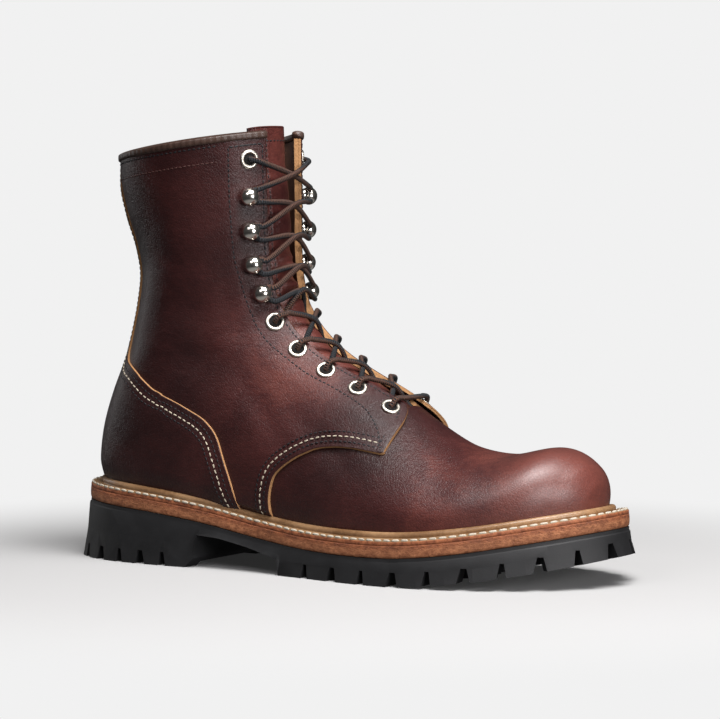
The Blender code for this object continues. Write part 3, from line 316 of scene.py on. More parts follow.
tables = {-1: lastTable(-1), 1: lastTable(1)}
topCentre = (slice(None), 0)
backCentre = (slice(int(heelCorner * (gridU - 1)) + 2, None), -1)
toeFront = (0, slice(None))
for line in (topCentre, backCentre, toeFront):
    shareNormals(line)
print("last worked out")


def readGrid(table, u, v):
    # bicubic reading of a grid: the weights of four neighbours each way
    result = 0
    a = np.clip(u, 0, 1) * (gridU - 1)
    b = np.clip(v, 0, 1) * (gridV - 1)
    i = np.clip(a.astype(int), 0, gridU - 2)
    j = np.clip(b.astype(int), 0, gridV - 2)
    s, t = a - i, b - j

    def weights(f):
        return (-0.5 * f + f * f - 0.5 * f ** 3, 1 - 2.5 * f * f + 1.5 * f ** 3,
                0.5 * f + 2 * f * f - 1.5 * f ** 3, -0.5 * f * f + 0.5 * f ** 3)

    for p, wp in enumerate(weights(s)):
        for q, wq in enumerate(weights(t)):
            row = np.clip(i + p - 1, 0, gridU - 1)
            col = np.clip(j + q - 1, 0, gridV - 1)
            result = result + table[row, col] * (wp * wq)[..., None]
    return result


def onLast(u, v, side, offset=0.0):
    # point on the last, moved outwards
    u, v, offset = np.broadcast_arrays(np.asarray(u, float), np.asarray(v, float), np.asarray(offset, float))
    points, normals = tables[side][:2]
    return readGrid(points, u, v) + unit(readGrid(normals, u, v)) * offset[..., None]


def lastNormal(u, v, side):
    return unit(readGrid(tables[side][1], np.asarray(u, float), np.asarray(v, float)))


def girthOf(u, side):
    return np.interp(u, np.linspace(0, 1, gridU), tables[side][2])


def throatEdge(u, side):
    return last["throatHalf"] * tableCurve(throatLine, u) / girthOf(u, side)


def quarterLift(u, v, side):
    # the facing stands off the tongue near the throat's lower corner
    fromThroat = (v - throatEdge(u, side)) * girthOf(u, side)
    near = np.clip(1 - fromThroat / last["liftWidth"], 0, 1)
    low = np.clip(1 - (u - throatEnd) / last["liftLength"], 0, 1)
    return last["facingLift"] * near * low ** 2


def aboveRim(base):
    # height of points on the last over the welt's rim
    return base[..., 2] - seatHeight(base[..., 0]) - sole["rimHeight"]


def quarterTop(u, v, side):
    # height of the quarter's outer face over the last; it thins out behind the welt's rim
    thins = np.clip(aboveRim(onLast(u, v, side)) / 0.004, 0, 1)
    return last["layer"] * thins + quarterLift(u, v, side)


def levelPlaces(height, side, count):
    # rib place and girth share where the last crosses a level above the midsole, toe to heel
    points = tables[side][0]
    above = points[:, :, 2] - seatHeight(points[:, :, 0]) - sole["clearance"] - height
    u = np.linspace(0, 1, gridU)
    v = np.linspace(0, 1, gridV)
    found = []
    for k in range(gridU):
        if above[k, -1] >= 0:
            if u[k] > heelCorner:
                break
            found.append((u[k], 1.0))
            continue
        cell = np.nonzero(above[k] >= 0)[0][-1]
        part = above[k, cell] / (above[k, cell] - above[k, cell + 1])
        found.append((u[k], v[cell] + (v[cell + 1] - v[cell]) * part))
    k = len(found) - 1
    part = np.clip(-above[k, -1] / max(above[k + 1, -1] - above[k, -1], 1e-9), 0, 1)
    found.append((u[k] + (u[k + 1] - u[k]) * part, 1.0))
    found = np.array(found)
    walk = walkAlong(onLast(found[:, 0], found[:, 1], side))
    return readLine(np.linspace(0, walk[-1], count), walk, found).T


def levelRing(height, offset, count):
    # closed ring round the last at a level: outer side toe to heel, inner side back
    sides = []
    for side in (-1, 1):
        u, v = levelPlaces(height, side, count)
        run = onLast(u, v, side)
        run[:, 2] = seatHeight(run[:, 0]) + sole["clearance"] + height
        sides.append(run)
    ring = np.vstack([sides[0], sides[1][::-1][1:-1]])
    ring[0] = (sides[0][0] + sides[1][0]) / 2
    ring[count - 1] = (sides[0][-1] + sides[1][-1]) / 2
    ahead = np.roll(ring, -1, axis=0) - np.roll(ring, 1, axis=0)
    ahead[:, 2] = 0
    ahead = unit(ahead)
    out = np.column_stack([-ahead[:, 1], ahead[:, 0], np.zeros(len(ring))])
    out *= np.sign(np.sum(out * (ring - ring.mean(axis=0)), axis=1).sum())
    for k in range(6):
        out = (np.roll(out, 1, axis=0) + out * 2 + np.roll(out, -1, axis=0)) / 4
    return ring + out * offset


def soleRing(margin, count, height):
    # closed ring on the sole's plan edge, in the order of a level ring
    halves = [soleEdge(side, margin, count) for side in (-1, 1)]
    ring = np.vstack([halves[0], halves[1][::-1][1:-1]])
    return np.column_stack([ring, height(ring[:, 0])])


# Meshes

def addPiece(name, points, faces, finish, replaced=(), uv=None, marks=None):
    # puts arrays into an object; faces is a list of index arrays with 3 or 4 columns
    mesh = bpy.data.meshes.new(name)
    points = np.asarray(points, float)
    corners = np.concatenate([f.ravel() for f in faces]).astype(np.int32)
    totals = np.concatenate([np.full(len(f), f.shape[1]) for f in faces]).astype(np.int32)
    starts = np.concatenate([[0], np.cumsum(totals)[:-1]]).astype(np.int32)
    mesh.vertices.add(len(points))
    mesh.vertices.foreach_set("co", points.astype(np.float32).ravel())
    mesh.loops.add(len(corners))
    mesh.loops.foreach_set("vertex_index", corners)
    mesh.polygons.add(len(totals))
    mesh.polygons.foreach_set("loop_start", starts)
    mesh.update(calc_edges=True)
    mesh.validate()
    mesh.polygons.foreach_set("use_smooth", np.full(len(mesh.polygons), True))
    for key, values in (marks or {}).items():
        layer = mesh.attributes.new(key, "FLOAT", "POINT")
        layer.data.foreach_set("value", np.asarray(values, np.float32).ravel())
    if uv is not None:
        layer = mesh.uv_layers.new(name="run")
        index = np.empty(len(mesh.loops), np.int32)
        mesh.loops.foreach_get("vertex_index", index)
        layer.data.foreach_set("uv", np.asarray(uv, np.float32)[index].ravel())
    mesh.materials.append(finish)
    piece = bpy.data.objects.new(name, mesh)
    bpy.context.scene.collection.objects.link(piece)
    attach(piece, "root")
    if replaced:
        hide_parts(*replaced)
    return piece


def gridFaces(rows, columns, start=0, wrapRows=False, wrapColumns=False, flip=False):
    i = np.arange(rows if wrapRows else rows - 1)
    j = np.arange(columns if wrapColumns else columns - 1)
    a = start + i[:, None] * columns + j[None, :]
    b = start + i[:, None] * columns + ((j + 1) % columns)[None, :]
    c = start + ((i + 1) % rows)[:, None] * columns + ((j + 1) % columns)[None, :]
    d = start + ((i + 1) % rows)[:, None] * columns + j[None, :]
    quads = np.stack([a, b, c, d], -1).reshape(-1, 4)
    return quads[:, ::-1] if flip else quads


def outwards(mesh):
    # turns every face of a closed piece to the outside
    work = bmesh.new()
    work.from_mesh(mesh)
    bmesh.ops.remove_doubles(work, verts=work.verts, dist=1e-7)
    bmesh.ops.recalc_face_normals(work, faces=work.faces)
    if work.calc_volume(signed=True) < 0:
        bmesh.ops.reverse_faces(work, faces=work.faces)
    work.to_mesh(mesh)
    work.free()


def joinGrids(grids, values):
    # one list of points and faces from grids that meet where their points are equal
    points = np.concatenate([g.reshape(-1, 3) for g in grids])
    values = np.concatenate([v.reshape(-1, v.shape[-1]) for v in values])
    starts = np.cumsum([0] + [g.shape[0] * g.shape[1] for g in grids])
    quads = np.concatenate([gridFaces(g.shape[0], g.shape[1], start) for g, start in zip(grids, starts)])
    keys = np.round(points * 1e7).astype(np.int64)
    keys, first, index = np.unique(keys, axis=0, return_index=True, return_inverse=True)
    quads = index.ravel()[quads]
    same = quads == np.roll(quads, -1, axis=1)
    whole = quads[same.sum(axis=1) == 0]
    thin = same.sum(axis=1) == 1
    threes = quads[thin][~same[thin]].reshape(-1, 3)
    return points[first], values[first], whole, threes


def borderOf(faces, count):
    # edges that only one face has
    ends = np.concatenate([np.stack([f, np.roll(f, -1, axis=1)], -1).reshape(-1, 2) for f in faces])
    code = ends.min(axis=1) * count + ends.max(axis=1)
    kinds, first, uses = np.unique(code, return_index=True, return_counts=True)
    return ends[first[uses == 1]]


rimRows = [(0.05, 0.0), (0.36, 0.0), (0.46, 0.3), (0.54, 0.3), (0.64, 0.0), (0.88, 0.25)]  # height, inset


def rimmed(sheet, rims, inset=0.0006, rawShare=1.0):
    # pads borders of a sheet with rim rows, each at a share of the height and of the inset;
    # a rim is an axis and its end, and rawShare marks the cut edge for the finish
    base, normal, thick, bottom, mark = sheet
    thick, bottom, mark = thick[..., None], bottom[..., None], mark[..., None]
    for axis, end in rims:
        fields = [np.moveaxis(field, axis, 0) for field in (base, normal, thick, bottom, mark)]
        base, normal, thick, bottom, mark = (field[::-1] if end else field for field in fields)
        way = unit(base[1] - base[0]) * inset
        tall = thick[0] - bottom[0]
        rows = np.stack([base[0] + way * across for level, across in rimRows + [(1.0, 1.0)]])
        highs = np.stack([bottom[0] + tall * level for level, across in rimRows] + [thick[0]])
        raw = np.full_like(mark[0], rawShare)
        raws = np.stack([raw] * (len(rimRows) - 1) + [raw * 0.7, mark[0]])
        count = len(rows)
        base = np.concatenate([rows, base[1:]])
        normal = np.concatenate([np.repeat(normal[:1], count, axis=0), normal[1:]])
        thick = np.concatenate([highs, thick[1:]])
        bottom = np.concatenate([np.repeat(bottom[:1], count, axis=0), bottom[1:]])
        mark = np.concatenate([raws, mark[1:]])
        base, normal, thick, bottom, mark = (np.moveaxis(field[::-1] if end else field, 0, axis)
                                             for field in (base, normal, thick, bottom, mark))
    return base, normal, thick[..., 0], bottom[..., 0], mark[..., 0]


def panel(name, sheets, finish, replaced, fields):
    # closed panel from sheets of base, normal, top, bottom and raw share; fields are marks worked out from place
    tops = [base + normal * thick[..., None] for base, normal, thick, bottom, mark in sheets]
    others = [np.concatenate([base + normal * bottom[..., None], mark[..., None]], -1)
              for base, normal, thick, bottom, mark in sheets]
    points, values, quads, threes = joinGrids(tops, others)
    count = len(points)
    border = borderOf([f for f in (quads, threes) if len(f)], count)
    faces = [f for f in (quads, threes, quads[:, ::-1] + count, threes[:, ::-1] + count) if len(f)]
    faces.append(np.column_stack([border[:, 1], border[:, 0], border[:, 0] + count, border[:, 1] + count]))
    points = np.concatenate([points, values[:, :3]])
    marks = {"rawEdge": np.tile(values[:, 3], 2), "inside": np.repeat([0.0, 1.0], count)}
    for key, field in fields.items():
        marks[key] = field(points)
    piece = addPiece(name, points, faces, finish, replaced, marks=marks)
    outwards(piece.data)


def solidOf(name, grids, finish, replaced=(), levels=None):
    # closed body from grids whose borders meet; levels holds a value for each point
    levels = levels or [np.zeros(g.shape[:2]) for g in grids]
    points, values, quads, threes = joinGrids(grids, [level[..., None] for level in levels])
    faces = [f for f in (quads, threes) if len(f)]
    piece = addPiece(name, points, faces, finish, replaced, marks={"level": values[:, 0]})
    outwards(piece.data)


# Shader nodes: a wrapped socket whose operators add Math nodes

class Wire:
    def __init__(self, nodes, socket):
        self.nodes = nodes
        self.socket = socket

    def joined(self, operation, other, swapped=False):
        first, second = (other, self) if swapped else (self, other)
        return self.nodes.add("ShaderNodeMath", {"operation": operation}, {0: first, 1: second})

    def __add__(self, other): return self.joined("ADD", other)
    def __radd__(self, other): return self.joined("ADD", other, True)
    def __sub__(self, other): return self.joined("SUBTRACT", other)
    def __rsub__(self, other): return self.joined("SUBTRACT", other, True)
    def __mul__(self, other): return self.joined("MULTIPLY", other)
    def __rmul__(self, other): return self.joined("MULTIPLY", other, True)


class Finish:
    def __init__(self, name):
        self.material = bpy.data.materials.new(name)
        self.material.use_nodes = True
        self.tree = self.material.node_tree
        self.shader = self.tree.nodes["Principled BSDF"]

    def add(self, kind, settings=None, inputs=None, output=0):
        node = self.tree.nodes.new(kind)
        for key, value in (settings or {}).items():
            if key == "stops":
                ramp = node.color_ramp
                while len(ramp.elements) < len(value):
                    ramp.elements.new(0.5)
                for element, (place, colour) in zip(ramp.elements, value):
                    element.position = place
                    element.color = (*colour, 1.0)
            else:
                setattr(node, key, value)
        for key, value in (inputs or {}).items():
            self.put(node, key, value)
        return Wire(self, node.outputs[output])

    def put(self, node, key, value):
        if isinstance(value, Wire):
            self.tree.links.new(value.socket, node.inputs[key])
        elif hasattr(value, "__len__") and len(value) == 3 and node.inputs[key].type == "RGBA":
            node.inputs[key].default_value = (*value, 1.0)
        else:
            node.inputs[key].default_value = value

    def set(self, **values):
        for key, value in values.items():
            self.put(self.shader, key.replace("_", " "), value)

    def objectPlace(self):
        node = self.tree.nodes.new("ShaderNodeTexCoord")
        return Wire(self, node.outputs["Object"])

    def surfacePlace(self):
        node = self.tree.nodes.new("ShaderNodeUVMap")
        node.uv_map = "run"
        return Wire(self, node.outputs["UV"])

    def scaled(self, place, size):
        return self.add("ShaderNodeMapping", {}, {"Vector": place, "Scale": size})

    def noise(self, place, scale, detail, rough, distortion=0.0):
        return self.add("ShaderNodeTexNoise", {}, {"Vector": place, "Scale": scale, "Detail": detail,
                                                   "Roughness": rough, "Distortion": distortion})

    def cells(self, place, scale):
        # distance to the nearest border between cells
        return self.add("ShaderNodeTexVoronoi", {"feature": "DISTANCE_TO_EDGE"},
                        {"Vector": place, "Scale": scale})

    def clamp(self, value, low, high):
        return self.add("ShaderNodeMapRange", {"interpolation_type": "SMOOTHSTEP"},
                        {"Value": value, "From Min": low, "From Max": high})

    def blend(self, factor, first, second):
        # the Mix node's colour sockets are its inputs 6 and 7 and its output 2
        return self.add("ShaderNodeMix", {"data_type": "RGBA"}, {0: factor, 6: first, 7: second}, 2)

    def mark(self, name):
        node = self.tree.nodes.new("ShaderNodeAttribute")
        node.attribute_name = name
        return Wire(self, node.outputs["Fac"])

    def bump(self, height, strength, distance):
        return self.add("ShaderNodeBump", {}, {"Height": height, "Strength": strength, "Distance": distance})


leather = {
    "dark": (0.020, 0.0060, 0.0062),
    "mid": (0.063, 0.0160, 0.0148),
    "red": (0.190, 0.051, 0.037),
    "pore": (0.010, 0.004, 0.004),
    "raw": ((0.260, 0.125, 0.050), (0.560, 0.300, 0.130)),
    "lining": ((0.075, 0.034, 0.020), (0.115, 0.050, 0.030)),
    "roughness": 0.29,
    "specular": 0.34,
    "coat": 0.06,
    "toeCoat": 0.85,
    "coatRoughness": 0.42,
    "grain": 900.0,
    "bump": 0.45,
    "bumpDepth": 0.00040,
}


def leatherFinish(name, rednessShift=0.0, gloss=0.0):
    # pull-up leather: tone from broad, patchy and fibrous noise and the redness mark, with raw cut edges,
    # a plain lining inside and a coat where it is polished
    f = Finish(name)
    here = f.objectPlace()
    broad = f.noise(here, 9.0, 3.0, 0.55)
    patch = f.noise(here, 34.0, 5.0, 0.6, 0.6)
    fibre = f.noise(f.scaled(here, (1.0, 1.0, 2.6)), 210.0, 4.0, 0.65)
    tone = broad * 0.55 + patch * 0.35 + fibre * 0.18 + f.mark("redness") * 0.80 + rednessShift
    tone = f.clamp(tone, 0.34, 1.02)
    stops = [(0.0, leather["dark"]), (0.45, leather["mid"]), (1.0, leather["red"])]
    skin = f.add("ShaderNodeValToRGB", {"stops": stops}, {"Fac": tone})
    crackle = f.clamp(f.cells(f.scaled(here, (1.0, 1.0, 0.8)), leather["grain"]), 0.0, 0.16)
    coarse = f.clamp(f.cells(here, leather["grain"] * 0.45), 0.0, 0.12)
    skin = f.blend(0.22 * (1.0 - crackle), skin, leather["pore"])
    rawFibre = f.noise(here, 900.0, 3.0, 0.7)
    raw = f.blend(rawFibre, *leather["raw"])
    edge = f.clamp(f.mark("rawEdge"), 0.35, 0.8)
    within = f.mark("inside")
    lining = f.blend(rawFibre, *leather["lining"])
    f.set(Base_Color=f.blend(within, f.blend(edge, skin, raw), lining))
    soft = f.add("ShaderNodeMath", {"operation": "MAXIMUM"}, {0: edge, 1: within})
    f.set(Roughness=(leather["roughness"] - gloss) + patch * 0.14 + fibre * 0.06 + soft * 0.38)
    f.set(Coat_Weight=(1.0 - soft) * (f.mark("shine") * leather["toeCoat"] + leather["coat"]))
    f.set(Coat_Roughness=leather["coatRoughness"], Specular_IOR_Level=leather["specular"])
    wrinkle = f.noise(f.scaled(here, (1.0, 1.0, 2.0)), 120.0, 5.0, 0.62, 1.2)
    height = crackle * 0.35 + coarse * 0.3 + wrinkle * 1.2 + fibre * 0.35
    f.set(Normal=f.bump(height, leather["bump"], leather["bumpDepth"]))
    return f.material


def plainFinish(name, colour, roughness):
    f = Finish(name)
    f.set(Base_Color=colour, Roughness=roughness)
    return f.material


def threadFinish(name, light, dark):
    f = Finish(name)
    twist = f.noise(f.objectPlace(), 1500.0, 2.0, 0.6)
    f.set(Base_Color=f.blend(twist, dark, light), Roughness=0.62)
    f.set(Normal=f.bump(twist, 0.5, 0.0002))
    return f.material


def strapFinish(name, light, dark, roughness):
    # plain leather with specks
    f = Finish(name)
    here = f.objectPlace()
    speck = f.noise(here, 420.0, 5.0, 0.7)
    smear = f.noise(here, 40.0, 3.0, 0.5)
    f.set(Base_Color=f.blend(f.clamp(speck * 0.6 + smear * 0.5, 0.3, 0.8), dark, light), Roughness=roughness)
    f.set(Normal=f.bump(speck, 0.35, 0.0003))
    return f.material


russetTones = {
    "rim": ((0.180, 0.092, 0.040), (0.400, 0.235, 0.120)),
    "flat": ((0.120, 0.065, 0.028), (0.360, 0.220, 0.110)),
    "upper": ((0.160, 0.042, 0.016), (0.420, 0.140, 0.055)),
    "lower": ((0.230, 0.072, 0.027), (0.520, 0.205, 0.090)),
    "smear": (0.100, 0.035, 0.012),
    "seam": (0.060, 0.024, 0.012),
}  # dark and light of the welt's rim and flat, and of the stacked edge


def weltFinish():
    # level 0 is the rim, 0.5 the flat strip and 1 its cut edge, which has the midsole's colour
    f = Finish("weltLeather")
    here = f.objectPlace()
    level = f.mark("level")
    speck = f.noise(here, 420.0, 5.0, 0.7)
    smear = f.noise(here, 40.0, 3.0, 0.5)
    fleck = f.noise(here, 300.0, 5.0, 0.8)
    rim = f.blend(f.clamp(speck * 0.4 + smear * 0.6, 0.35, 0.7), *russetTones["rim"])
    flat = f.blend(speck, *russetTones["flat"])
    edge = f.blend(f.clamp(fleck, 0.34, 0.66), *russetTones["upper"])
    colour = f.blend(f.clamp(level, 0.15, 0.35), rim, flat)
    colour = f.blend(f.clamp(level + (fleck - 0.5) * 0.15, 0.70, 0.80), colour, edge)
    f.set(Base_Color=colour, Roughness=0.34 + f.clamp(level, 0.2, 0.5) * 0.32)
    f.set(Normal=f.bump(speck * 0.6 + fleck * f.clamp(level, 0.6, 0.9), 0.5, 0.0004))
    return f.material


def midFinish():
    # stacked leather edge: darker above, orange brown below, with fibres along the edge
    f = Finish("russetEdge")
    here = f.objectPlace()
    level = f.mark("level")
    fibre = f.noise(f.scaled(here, (0.35, 0.35, 2.4)), 900.0, 5.0, 0.7)
    fleck = f.noise(f.scaled(here, (0.6, 0.6, 1.0)), 420.0, 5.0, 0.8)
    smear = f.noise(here, 30.0, 3.0, 0.5)
    rough = f.clamp(fleck, 0.34, 0.68)
    upperTone = f.blend(rough, *russetTones["upper"])
    lowerTone = f.blend(rough, *russetTones["lower"])
    split = f.clamp(level + (fleck - 0.5) * 0.45, 0.62, 0.80)
    colour = f.blend(split, lowerTone, upperTone)
    colour = f.blend(f.clamp(smear, 0.35, 0.75) * 0.35, colour, russetTones["smear"])
    line = f.clamp(level, 0.02, 0.09)
    colour = f.blend((1.0 - line) * 0.35, colour, russetTones["seam"])
    f.set(Base_Color=colour, Roughness=0.62 + fleck * 0.15)
    f.set(Normal=f.bump(fibre * 0.6 + fleck * 1.4, 0.8, 0.0006))
    return f.material


def rubberFinish():
    f = Finish("blackRubber")
    here = f.objectPlace()
    dust = f.noise(here, 60.0, 5.0, 0.7)
    fine = f.noise(here, 1400.0, 3.0, 0.6)
    f.set(Base_Color=f.blend(f.clamp(dust, 0.4, 0.8) * 0.6, (0.0075, 0.0075, 0.0085), (0.017, 0.0175, 0.019)))
    f.set(Roughness=0.50 + dust * 0.22)
    f.set(Normal=f.bump(fine * 0.7 + dust * 0.5, 0.25, 0.0003))
    return f.material


def nickelFinish(name, colour, roughness):
    f = Finish(name)
    fine = f.noise(f.objectPlace(), 500.0, 3.0, 0.6)
    f.set(Base_Color=colour, Metallic=1.0, Roughness=fine * 0.10 + roughness)
    return f.material


def braidFinish():
    # round braid: strands run both ways round the cord, most near-black, some brown; the grooves between the
    # strands get a painted shade, darker still
    f = Finish("braid")
    parts = f.add("ShaderNodeSeparateXYZ", {}, {0: f.surfacePlace()}).socket.node
    along, around = Wire(f, parts.outputs[0]), Wire(f, parts.outputs[1])

    def wave(value):
        return f.add("ShaderNodeMath", {"operation": "SINE"}, {0: value})

    turn = 2 * math.pi
    rib = wave(along * 5600.0 + around * (2 * turn))
    other = wave(along * 5600.0 - around * (2 * turn))
    plait = f.add("ShaderNodeMath", {"operation": "MAXIMUM"}, {0: rib, 1: other})
    twist = wave(along * 85.0 + around * turn)
    tone = f.clamp(twist + rib * 0.25, -0.10, 0.30)
    colour = f.blend(tone, (0.012, 0.015, 0.020), (0.105, 0.044, 0.026))
    # painted shade: where the plait is low, in the grooves between the strands, the colour goes almost black
    colour = f.blend(f.clamp(plait, 0.1, 0.9), (0.004, 0.004, 0.005), colour)
    f.set(Base_Color=colour, Roughness=0.70)
    f.set(Normal=f.bump(plait, 0.7, 0.0004))
    return f.material


oxblood = leatherFinish("oxbloodLeather")
counterLeather = leatherFinish("oxbloodCounter", -0.04)
tongueLeather = leatherFinish("oxbloodTongue", 0.12, 0.06)
paleThread = threadFinish("paleThread", (0.62, 0.56, 0.44), (0.36, 0.30, 0.22))
darkThread = threadFinish("darkThread", (0.010, 0.010, 0.013), (0.003, 0.003, 0.004))
redThread = threadFinish("redThread", (0.085, 0.026, 0.020), (0.030, 0.010, 0.008))
rawThread = threadFinish("rawThread", (0.68, 0.62, 0.52), (0.42, 0.36, 0.28))
stripLeather = weltFinish()
russet = midFinish()
rubber = rubberFinish()
nickel = nickelFinish("polishedNickel", (0.92, 0.87, 0.79), 0.15)
satinNickel = nickelFinish("satinNickel", (0.70, 0.655, 0.575), 0.34)
braid = braidFinish()
boardFinish = strapFinish("boardFinish", (0.36, 0.22, 0.12), (0.26, 0.15, 0.08), 0.75)
tapeFinish = strapFinish("tapeFinish", (0.074, 0.040, 0.029), (0.030, 0.015, 0.011), 0.45)
# near-black finish for the disc in each eyelet's hole: painted shade
holeShadeFinish = plainFinish("paintedHoleShade", (0.004, 0.003, 0.003), 0.9)
print("finishes made")


# Creases: soft troughs, each along points of rib place and distance from the centre

creases = [
    # side, points (u, millimetres from the centre line), width and depth in millimetres
    (-1, [(0.36, 58), (0.42, 50), (0.49, 47)], 7.0, 0.9),
    (-1, [(0.43, 66), (0.50, 55), (0.57, 50)], 6.0, 0.7),
    (-1, [(0.62, 60), (0.68, 68), (0.73, 84)], 9.0, 1.0),
    (-1, [(0.76, 52), (0.80, 66), (0.83, 84)], 10.0, 0.7),
    (-1, [(0.56, 42), (0.62, 46), (0.68, 47)], 8.0, -0.7),
    (-1, [(0.27, 20), (0.26, 42), (0.25, 60)], 9.0, 0.8),
    (-1, [(0.88, 50), (0.89, 75), (0.90, 100)], 12.0, -0.5),
    (1, [(0.36, 52), (0.42, 48), (0.49, 44)], 7.0, 0.9),
    (1, [(0.60, 58), (0.66, 66), (0.71, 80)], 9.0, 1.0),
    (1, [(0.76, 50), (0.80, 64), (0.83, 82)], 10.0, 0.7),
    (1, [(0.27, 18), (0.26, 38), (0.25, 54)], 9.0, 0.8),
]


def relief(points, side):
    # sum over creases of minus depth by exp of minus the squared distance over width, fading at the ends
    total = np.zeros(points.shape[:-1])
    for home, path, width, depth in creases:
        if home != side:
            continue
        rows = np.array(path)
        t = np.linspace(0, 1, 25)
        knots = np.linspace(0, 1, len(rows))
        u = smoothCurve(knots, rows[:, 0], t)
        far = smoothCurve(knots, rows[:, 1], t) / 1000
        line = onLast(u, far / girthOf(u, side), side)
        gap = np.linalg.norm(points[..., None, :] - line, axis=-1)
        nearest = gap.argmin(axis=-1)
        fade = np.sin(np.pi * np.clip(t[nearest] * 0.9 + 0.05, 0, 1)) ** 0.7
        total -= depth / 1000 * fade * np.exp(-(gap.min(axis=-1) / (width / 1000)) ** 2)
    return total


# Colour fields of the leather, worked out from place

polish = (0.185, 0.225)  # the toe cap's shine comes up between these places along the boot
toeRed = {"from": 0.15, "to": 0.25, "amount": 0.34}
tonePatches = [
    (0.16, 0.100, 0.105, 0.050, 0.045), (-0.22, 0.125, 0.055, 0.035, 0.022), (-0.12, 0.035, 0.100, 0.035, 0.035),
]  # redness added, x, z and reach along x and z: instep, below the seam, ankle


def shine(points):
    return ease(*polish, points[:, 0])


def redness(points):
    # a ramp towards the toe plus patches by exp of minus the squared distances over their reach
    x, z = points[:, 0], points[:, 2]
    total = toeRed["amount"] * ease(toeRed["from"], toeRed["to"], x)
    for amount, middleX, middleZ, reachX, reachZ in tonePatches:
        total = total + amount * np.exp(-((x - middleX) / reachX) ** 2 - ((z - middleZ) / reachZ) ** 2)
    return total


# Vamp: it runs on under the quarters, and steps back at the throat

vamp = {"rows": 130, "columns": 110, "tuck": 0.030, "centreEnd": 0.360, "stepRib": 0.35, "step": (0.007, 0.014)}
throatCorner = {"rib": 0.352, "turnUp": 0.008, "reach": 0.0035}


def evenShares(lineOf, count):
    # shares whose points on a line lie at even distances
    t = np.linspace(0, 1, 1500)
    walk = walkAlong(lineOf(t))
    return np.interp(np.linspace(0, walk[-1], count), walk, t)


def frontLine(v, side):
    # front edge of the quarter, turned up at the throat's rounded corner
    rib = throatCorner["rib"]
    fromThroat = (v - throatEdge(rib, side)) * girthOf(rib, side)
    turned = np.clip(1 - fromThroat / throatCorner["reach"], 0, 1) ** 2
    return tableCurve(quarterFront, v) + throatCorner["turnUp"] * turned


def vampSheet(side):
    v = evenShares(lambda t: onLast(tableCurve(quarterFront, t), t, side), vamp["columns"])[None, :]
    fromCentre = v * girthOf(vamp["stepRib"], side)
    end = tableCurve(quarterFront, v) + vamp["tuck"]
    end = vamp["centreEnd"] + (end - vamp["centreEnd"]) * ease(*vamp["step"], fromCentre)
    u = np.linspace(0, 1, vamp["rows"])[:, None] ** 1.1 * end
    v = np.broadcast_to(v, u.shape)
    base, normal = onLast(u, v, side), lastNormal(u, v, side)
    top = relief(base, side) * ease(0, 0.12, u) * ease(0, 0.02, v * girthOf(u, side))
    return base, normal, top, np.full(u.shape, -last["wall"]), np.zeros(u.shape)


panel("vampShell", [rimmed(vampSheet(side), [(0, 1)]) for side in (-1, 1)], oxblood, ("upper",),
      {"redness": redness, "shine": shine})
print("vamp made")

# Quarters

quarter = {"rows": 190, "columns": 130, "firstGuess": 0.346, "rounds": 12, "evenShare": 0.7,
           "overlap": (0.032, 0.046), "ridge": 0.0005, "ridgeAt": 0.0195, "ridgeReach": 0.006, "thinnest": 0.0006}


def quarterPlaces(side, across, along):
    # rib place and girth share for shares across (throat to foot) and along (front edge to collar),
    # found in rounds, because the throat's edge and the front edge depend on each other
    u = quarter["firstGuess"] + (1 - quarter["firstGuess"]) * along
    for k in range(quarter["rounds"]):
        edge = throatEdge(u, side)
        v = edge + (1 - edge) * across
        front = frontLine(v, side)
        u = front + (1 - front) * along
    return u, v


def eyestayRidge(fromThroat):
    # the eyestay's edge shows as a low ridge through the quarter
    return quarter["ridge"] * np.exp(-((fromThroat - quarter["ridgeAt"]) / quarter["ridgeReach"]) ** 2)


def quarterSheet(side):
    def front(t):
        return onLast(*quarterPlaces(side, t, np.zeros_like(t)), side)

    across = evenShares(front, quarter["columns"])
    share = quarter["evenShare"]
    across = (across * share + np.linspace(0, 1, len(across)) * (1 - share))[None, :]
    along = np.linspace(0, 1, quarter["rows"])[:, None]
    u, v = quarterPlaces(side, across + 0 * along, along + 0 * across)
    base, normal = onLast(u, v, side), lastNormal(u, v, side)
    past = u - frontLine(v, side)
    bottom = -last["wall"] * ease(*quarter["overlap"], past) + quarterLift(u, v, side)
    fromThroat = (v - throatEdge(u, side)) * girthOf(u, side)
    top = quarterTop(u, v, side) + relief(base, side) * ease(0.0, 0.012, fromThroat) * ease(0, 0.02, past)
    top = np.maximum(top + eyestayRidge(fromThroat), bottom + quarter["thinnest"])
    return base, normal, top, bottom, np.zeros(u.shape)


for side in (-1, 1):
    panel("quarter" + sideWords[side].title(), [rimmed(quarterSheet(side), [(0, 0), (1, 0)])], oxblood,
          ("upper",), {"redness": redness})
print("quarters made")

# Counter with the back strip

counter = {"rows": 150, "columns": 40, "start": 0.468, "stop": 0.9885, "cornerGap": 0.0035, "base": 0.0013,
           "edge": 0.0016, "swell": 0.0017, "swellReach": 0.012, "stripThinning": 0.55, "topThinning": 0.35,
           "footShare": 0.45, "thinnest": 0.0010, "rimInset": 0.0005}


def counterPlaces(side, across, u):
    # girth share between the counter's edge and the foot or back line
    edge = 1 - tableCurve(counterEdge, u) / 1000 / girthOf(u, side)
    return edge + (1 - edge) * across


def counterHeight(u, past, above):
    # thickness over the last: swells behind the edge, thins at the back strip, the collar and the welt
    swell = counter["swell"] * ease(0.0, counter["swellReach"], past)
    full = counter["base"] + counter["edge"] + swell * (1 - counter["stripThinning"] * ease(0.70, 0.82, u))
    full = full * (1 - counter["topThinning"] * ease(0.955, 0.990, u))
    foot = counter["footShare"] + (1 - counter["footShare"]) * ease(-0.004, 0.011, above)
    return np.maximum(full * foot, counter["thinnest"])


def counterTop(u, v, side):
    past = (v - counterPlaces(side, 0.0, u)) * girthOf(u, side)
    return counterHeight(u, past, aboveRim(onLast(u, v, side)))


